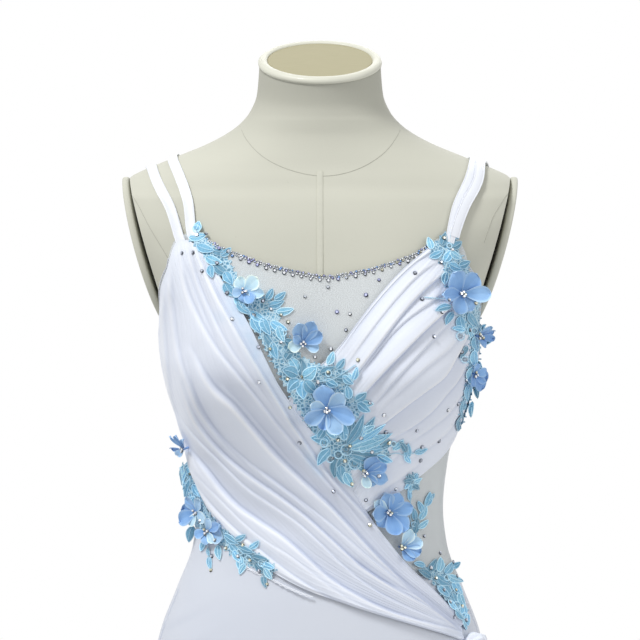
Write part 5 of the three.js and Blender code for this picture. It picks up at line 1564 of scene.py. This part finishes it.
class DRESS_OT_flowers(Piecework, bpy.types.Operator):
    """Fabric flowers, each petal cut and cupped on its own"""
    bl_idname = "dress.flowers"
    bl_label = "Flowers"

    def make(self):
        rng = np.random.default_rng(11)
        thick = sizes().petal_thick / MM
        SEATS["hearts"] = []
        for name, (place, turned, petals) in FLOWERS.items():
            radius = max(length for _, length, _, _ in petals)
            wanted = np.array(place, float)
            for _ in range(5):
                foot, axis, bottom = self.seated(wanted, turned, radius)
                wanted = wanted + 0.7 * (np.array(place) - pictured(foot))
            pile = Pile()
            for number, (lean, length, width, tone) in enumerate(petals):
                start = foot + axis * 0.55 * (number % 3)
                self.petal(pile, start, axis, lean, length, width, tone, thick, rng)
            path = np.array([bottom, (bottom + foot) / 2, foot + axis * 0.5])
            pile.cord(path, np.broadcast_to(PICTURE_RIGHT, path.shape), 1.0, 8, tint=(0.75, 0.8, 0.9))
            dress(pile.make(name + "_petals"), FINISHES["petal"], [name], 60)
            SEATS["hearts"].append((foot, axis, radius))

    def seated(self, place, turned, radius):
        """The foot of a flower over a place in the picture, its axis, and the cloth under it."""
        (around, height), left = SEATS["picture"].find(place)
        normal = outward(around, height)
        axis = unit(normal * (1 - turned) + TO_CAMERA * turned)
        sink = radius * math.sqrt(max(0.0, 1 - float(axis @ normal) ** 2)) * 0.4
        spread = np.radians(np.arange(0, 360, 45))
        under = SEATS["picture"].cover(around + 0.2 * radius * np.cos(spread),
                                       height + 0.4 * radius * np.sin(spread)).max()
        beyond = (left[0] * PICTURE_RIGHT - left[1] * PICTURE_UP) * CAMERA["per_pixel"]
        foot = on_garment(around, height, under + 1.5 + sink) + beyond
        bottom = on_garment(around, height, float(SEATS["picture"].cover(around, height)) + 0.2)
        return foot, axis, bottom

    def petal(self, pile, foot, axis, lean, length, width, tone, thick, rng):
        """One petal that shows at an angle in the picture, with a top, an underside and rolled edges."""
        angle = math.radians(lean)
        shown = PICTURE_RIGHT * math.cos(angle) + PICTURE_UP * math.sin(angle)
        spoke = shown - TO_CAMERA * (shown @ axis) / max(float(TO_CAMERA @ axis), 0.35)
        length = length * min(float(np.linalg.norm(spoke)), 1.3) * CAMERA["per_pixel"]
        spoke = unit(spoke)
        cross = np.cross(axis, spoke)
        u = np.sin(np.linspace(0.02, 0.5 * np.pi, 17))[:, None]
        v = np.linspace(-1, 1, 15)[None, :]
        widest = 0.62
        outer = np.sqrt(np.clip(1 - ((u - widest) / (1 - widest)) ** 2, 0, 1))
        inner = 0.2 + 0.8 * smooth(-0.1, widest, u)
        half = width / 2 * CAMERA["per_pixel"] * np.where(u > widest, outer, inner) + 0.05
        phase, cup, lift = rng.uniform(0, 6.28), rng.uniform(0.05, 0.16), rng.uniform(0.12, 0.42)
        skew = rng.uniform(-0.12, 0.12)
        reach = length * (0.05 + 0.95 * u) - 0.05 * length * v ** 2 * u
        rise = length * (lift * u ** 1.4 + cup * v ** 2 * u + 0.5 * skew * v * u
                         - 0.045 * np.exp(-((v / 0.2) ** 2)) * u * (1.2 - u)
                         + 0.03 * np.sin(3.4 * v + phase) * u ** 2
                         - rng.uniform(0.3, 1.1) * np.clip(u - 0.66, 0, 1) ** 1.6)
        side = half * v + skew * length * u ** 2
        top = (foot + reach[..., None] * spoke + side[..., None] * cross
               + (rise + thick / 2)[..., None] * axis)
        rings = np.concatenate([top, (top - thick * axis)[:, ::-1]], 1)
        pale, deep = max(tone, 0), max(-tone, 0)
        shade = rng.uniform(0.93, 1.07)
        paler, deeper = (1.5, 0.85, 0.2), (0.42, 0.3, 0.14)
        pile.loft(rings, tint=[shade * (1 + pale * more - deep * less) for more, less in zip(paler, deeper)])
        across = np.concatenate([np.abs(v[0]), np.abs(v[0])])
        uv = np.stack(np.meshgrid(u[:, 0], across, indexing="ij"), -1).reshape(-1, 2)
        pile.maps[-1][:len(uv)] = uv


def stone(pile, point, normal, wide, tint, rng, sides=8):
    """One cut stone with painted light: a girdle in painted shade, a crown with painted light above and
    painted shade below, and a table with a painted glint.
    """
    up = unit(normal)
    aside = unit(np.cross(up, (0.3, 0.2, 0.93)))
    front = np.cross(up, aside)
    turn = 2 * np.pi * (np.arange(sides) + rng.random()) / sides
    rings = [(0.98, -0.15), (1, 0.2), (0.56, 0.66)]
    points = [point + wide / 2 * (r * (math.cos(t) * aside + math.sin(t) * front) + h * up)
              for r, h in rings for t in turn]
    faces, tints = [list(range(sides))[::-1]], [tint]
    for k in range(2):
        for j in range(sides):
            n = (j + 1) % sides
            faces.append([k * sides + j, k * sides + n, (k + 1) * sides + n, (k + 1) * sides + j])
            way = math.cos(turn[j] + 0.4) * aside + math.sin(turn[j] + 0.4) * front
            # Painted light: crown facets turned up in the picture are lighter, those turned down and the
            # girdle are painted dark.
            lit = 0.4 + 0.34 * float(way @ PICTURE_UP) + rng.uniform(-0.18, 0.3)
            bright = 0.12 if k == 0 else min(1.2, max(0.07, lit))
            tints.append(tuple(bright * c for c in tint))
    faces.append([2 * sides + j for j in range(sides)])
    # Painted glint on the table.
    painted_glint = rng.choice([0.75, 1.15, 1.3])
    tints.append(tuple(min(1.0, painted_glint * c + 0.08) for c in tint))
    pile.put(points, faces, tint=tints)


class DRESS_OT_stones(Piecework, bpy.types.Operator):
    """Stones along the neckline, scattered over the bodice and in the flowers"""
    bl_idname = "dress.stones"
    bl_label = "Stones"

    def make(self):
        rng = np.random.default_rng(5)
        self.neckline(rng)
        self.scattered(rng)
        self.hearts(rng)

    def neckline(self, rng):
        pile = Pile()
        around = np.linspace(-29.5, 29.0, 900)
        for row, (drop, wide, gap) in enumerate(NECKLINE_ROWS):
            length = run_length(on_garment(around, edge_height(FRONT_TOP, around) - drop, CLOTH_OUT))
            places = np.arange(1.0 + row, length[-1], gap)
            places = places + rng.uniform(-0.35, 0.35, len(places))
            for place in np.interp(places, length, around):
                up = float(edge_height(FRONT_TOP, place)) - drop + rng.uniform(-0.3, 0.3)
                tint = STONE_TINTS[rng.choice([0, 1, 2, 3, 4], p=[0.56, 0.06, 0.18, 0.06, 0.14])]
                stone(pile, on_garment(place, up, CLOTH_OUT + 0.2), outward(place, up),
                      wide * rng.uniform(0.85, 1.15), tint, rng)
        dress(pile.make("stones_neckline"), FINISHES["stone"], (), 5)

    def scattered(self, rng):
        names = [*FRONT_CLOTH, *LACE_LENGTHS, *(name + "_ground" for name in LACE_LENGTHS),
                 *(name + "_petals" for name in FLOWERS)]
        tree = tree_of(made(*names))
        pile = Pile()
        for across, down, tint in LOOSE_STONES:
            hit = seat(tree, across, down)
            if hit:
                wide = sizes().stone_wide / MM * rng.uniform(0.85, 1.1)
                stone(pile, hit[0] + hit[1] * 0.15, hit[1], wide, STONE_TINTS[tint], rng)
        dress(pile.make("stones_scattered"), FINISHES["stone"], (), 5)

    def hearts(self, rng):
        pile = Pile()
        for foot, axis, radius in SEATS["hearts"]:
            count = 4 if radius > 20 else 3
            east = unit(np.cross(PICTURE_UP, axis))
            north = np.cross(axis, east)
            for k in range(count):
                turn = 2 * math.pi * k / count + rng.uniform(-0.4, 0.4)
                lift = axis * (2.4 + rng.uniform(0, 0.7))
                point = foot + lift + 2.1 * (math.cos(turn) * east + math.sin(turn) * north)
                wide, tint = 3.4 * rng.uniform(0.9, 1.1), STONE_TINTS[rng.choice([0, 0, 0, 3])]
                stone(pile, point, axis, wide, tint, rng)
        dress(pile.make("stones_flowers"), FINISHES["stone"], (), 5)


class DRESS_OT_trim(Piecework, bpy.types.Operator):
    """Picot edging along the armholes and the hip, and the skirt's sewn sides"""
    bl_idname = "dress.trim"
    bl_label = "Trim"

    def make(self):
        pile = Pile()
        turns = np.linspace(46, 87, 200)
        for side in (-1, 1):
            edge = on_garment(side * turns, edge_height(FRONT_TOP, side * turns), CLOTH_OUT + 0.5)
            self.picot(pile, edge, side, 0.5)
        for run, count in PICOT_RUNS:
            self.picot(pile, SEATS["picture"].lay(even_curve(run, count), 0.7), 1, 0.8)
        dress(pile.make("picot_edging"), FINISHES["strap"], (), 60)
        self.seam_lines()

    def seam_lines(self):
        """The sewn side seams of the skirt, each a pair of fine ridges."""
        pile = Pile()
        down = np.linspace(982, HEM_HEIGHT + 4, 240)
        for side in (-1, 1):
            for step in (0, 1.5):
                turn = side * (80.5 - step)
                pile.cord(on_garment(turn, down, CLOTH_OUT + 0.05), outward(turn, down), 0.38, 5)
        dress(pile.make("skirt_side_seams"), FINISHES["skirt"], (), 60)

    def picot(self, pile, path, way, radius):
        """A row of small thread loops standing on an edge, every one a little different."""
        run = unit(np.gradient(path, axis=0))
        length = run_length(path)
        aside = unit(np.cross(run, TO_CAMERA))
        gap = 3.0
        line = []
        for k in range(int(length[-1] / gap)):
            high = 1.4 + 0.5 * math.sin(2.7 * k)
            for t in np.linspace(0, np.pi, 7)[:-1]:
                at = (k + 0.5 - 0.62 * math.cos(t)) * gap
                place = np.array([np.interp(at, length, path[:, i]) for i in range(3)])
                lean = np.array([np.interp(at, length, aside[:, i]) for i in range(3)])
                line.append(place + way * lean * (high * math.sin(t) - 0.1))
        pile.cord(line, TO_CAMERA, radius * 0.6, 5)
        pile.cord(path, TO_CAMERA, radius * 0.7, 5)


class DRESS_OT_stage(Piecework, bpy.types.Operator):
    """Pale floor, soft light and the camera"""
    bl_idname = "dress.stage"
    bl_label = "Stage"

    def make(self):
        stage = bpy.context.scene.dress_stage
        bpy.ops.object.select_all(action="DESELECT")
        bpy.ops.mesh.primitive_circle_add(vertices=96, radius=stage.floor, fill_type="NGON",
                                          location=(0, 0, -0.0005))
        floor = bpy.context.object
        floor.name = "floor"
        pale = Finish("floor_pale", Roughness=0.9)
        pale.feed(Base_Color=pale.mix(pale.noise(pale.place(), 3, 2), (0.82, 0.82, 0.82, 1),
                                      (0.86, 0.86, 0.86, 1)))
        floor.data.materials.append(pale.material)
        for name, (place, size) in LIGHTS.items():
            self.light(name, place, size, stage.key if name == "key" else stage.fill)
        world = bpy.data.worlds.new("studio")
        bpy.context.scene.world = world
        world.use_nodes = True
        nodes, links = world.node_tree.nodes, world.node_tree.links
        seen, lit = nodes["Background"], nodes.new("ShaderNodeBackground")
        seen.inputs["Color"].default_value = lit.inputs["Color"].default_value = (1, 1, 1, 1)
        lit.inputs["Strength"].default_value = stage.sky
        mixer, path = nodes.new("ShaderNodeMixShader"), nodes.new("ShaderNodeLightPath")
        bright = nodes.new("ShaderNodeMath")
        bright.operation = "MAXIMUM"
        links.new(path.outputs["Is Camera Ray"], bright.inputs[0])
        links.new(path.outputs["Is Glossy Ray"], bright.inputs[1])
        links.new(bright.outputs[0], mixer.inputs[0])
        links.new(lit.outputs[0], mixer.inputs[1])
        links.new(seen.outputs[0], mixer.inputs[2])
        links.new(mixer.outputs[0], nodes["World Output"].inputs["Surface"])
        bpy.context.scene.view_settings.view_transform = "Standard"
        eye, way = sight(PICTURE_SIDE / 2, PICTURE_SIDE / 2)
        camera = bpy.data.cameras.new("camera")
        camera.sensor_width = CAMERA["sensor"]
        camera.lens = CAMERA["sensor"] * CAMERA["away"] / (PICTURE_SIDE * CAMERA["per_pixel"])
        camera.clip_start, camera.clip_end = 0.05, 60
        seen_from = bpy.data.objects.new("camera", camera)
        bpy.context.scene.collection.objects.link(seen_from)
        seen_from.location = Vector(eye * MM)
        seen_from.rotation_euler = Vector(way).to_track_quat("-Z", "Y").to_euler()
        bpy.context.scene.camera = seen_from

    def light(self, name, place, size, power):
        lamp = bpy.data.lights.new(name, "AREA")
        lamp.shape, lamp.size, lamp.energy = "DISK", size, power
        holder = bpy.data.objects.new("light_" + name, lamp)
        bpy.context.scene.collection.objects.link(holder)
        holder.location = place
        holder.rotation_euler = (Vector(LIT_PLACE) - Vector(place)).to_track_quat("-Z", "Y").to_euler()


PIECEWORK = (DRESS_OT_form, DRESS_OT_stand, DRESS_OT_bodice, DRESS_OT_skirt, DRESS_OT_drapes,
             DRESS_OT_knot, DRESS_OT_straps, DRESS_OT_lace, DRESS_OT_flowers, DRESS_OT_stones,
             DRESS_OT_trim, DRESS_OT_stage)


class DRESS_PT_panel(bpy.types.Panel):
    """The pieces of the dress, in the order they are made"""
    bl_idname = "DRESS_PT_panel"
    bl_label = "Dress"
    bl_space_type = "VIEW_3D"
    bl_region_type = "UI"
    bl_category = "Dress"

    def draw(self, context):
        for group in (context.scene.dress_colours, context.scene.dress_sizes, context.scene.dress_stage):
            for key in group.bl_rna.properties.keys():
                if key not in ("rna_type", "name"):
                    self.layout.prop(group, key)
        for operator in PIECEWORK:
            self.layout.operator(operator.bl_idname)


GROUPS = {"dress_colours": DressColours, "dress_sizes": DressSizes, "dress_stage": DressStage}


def register():
    for made_class in (*GROUPS.values(), *PIECEWORK, DRESS_PT_panel):
        bpy.utils.register_class(made_class)
    for name, group in GROUPS.items():
        setattr(bpy.types.Scene, name, bpy.props.PointerProperty(type=group))


def unregister():
    for name in GROUPS:
        delattr(bpy.types.Scene, name)
    for made_class in reversed((*GROUPS.values(), *PIECEWORK, DRESS_PT_panel)):
        bpy.utils.unregister_class(made_class)


def main():
    register()
    for operator in PIECEWORK:
        group, name = operator.bl_idname.split(".")
        getattr(getattr(bpy.ops, group), name)()


if __name__ == "__main__":
    main()
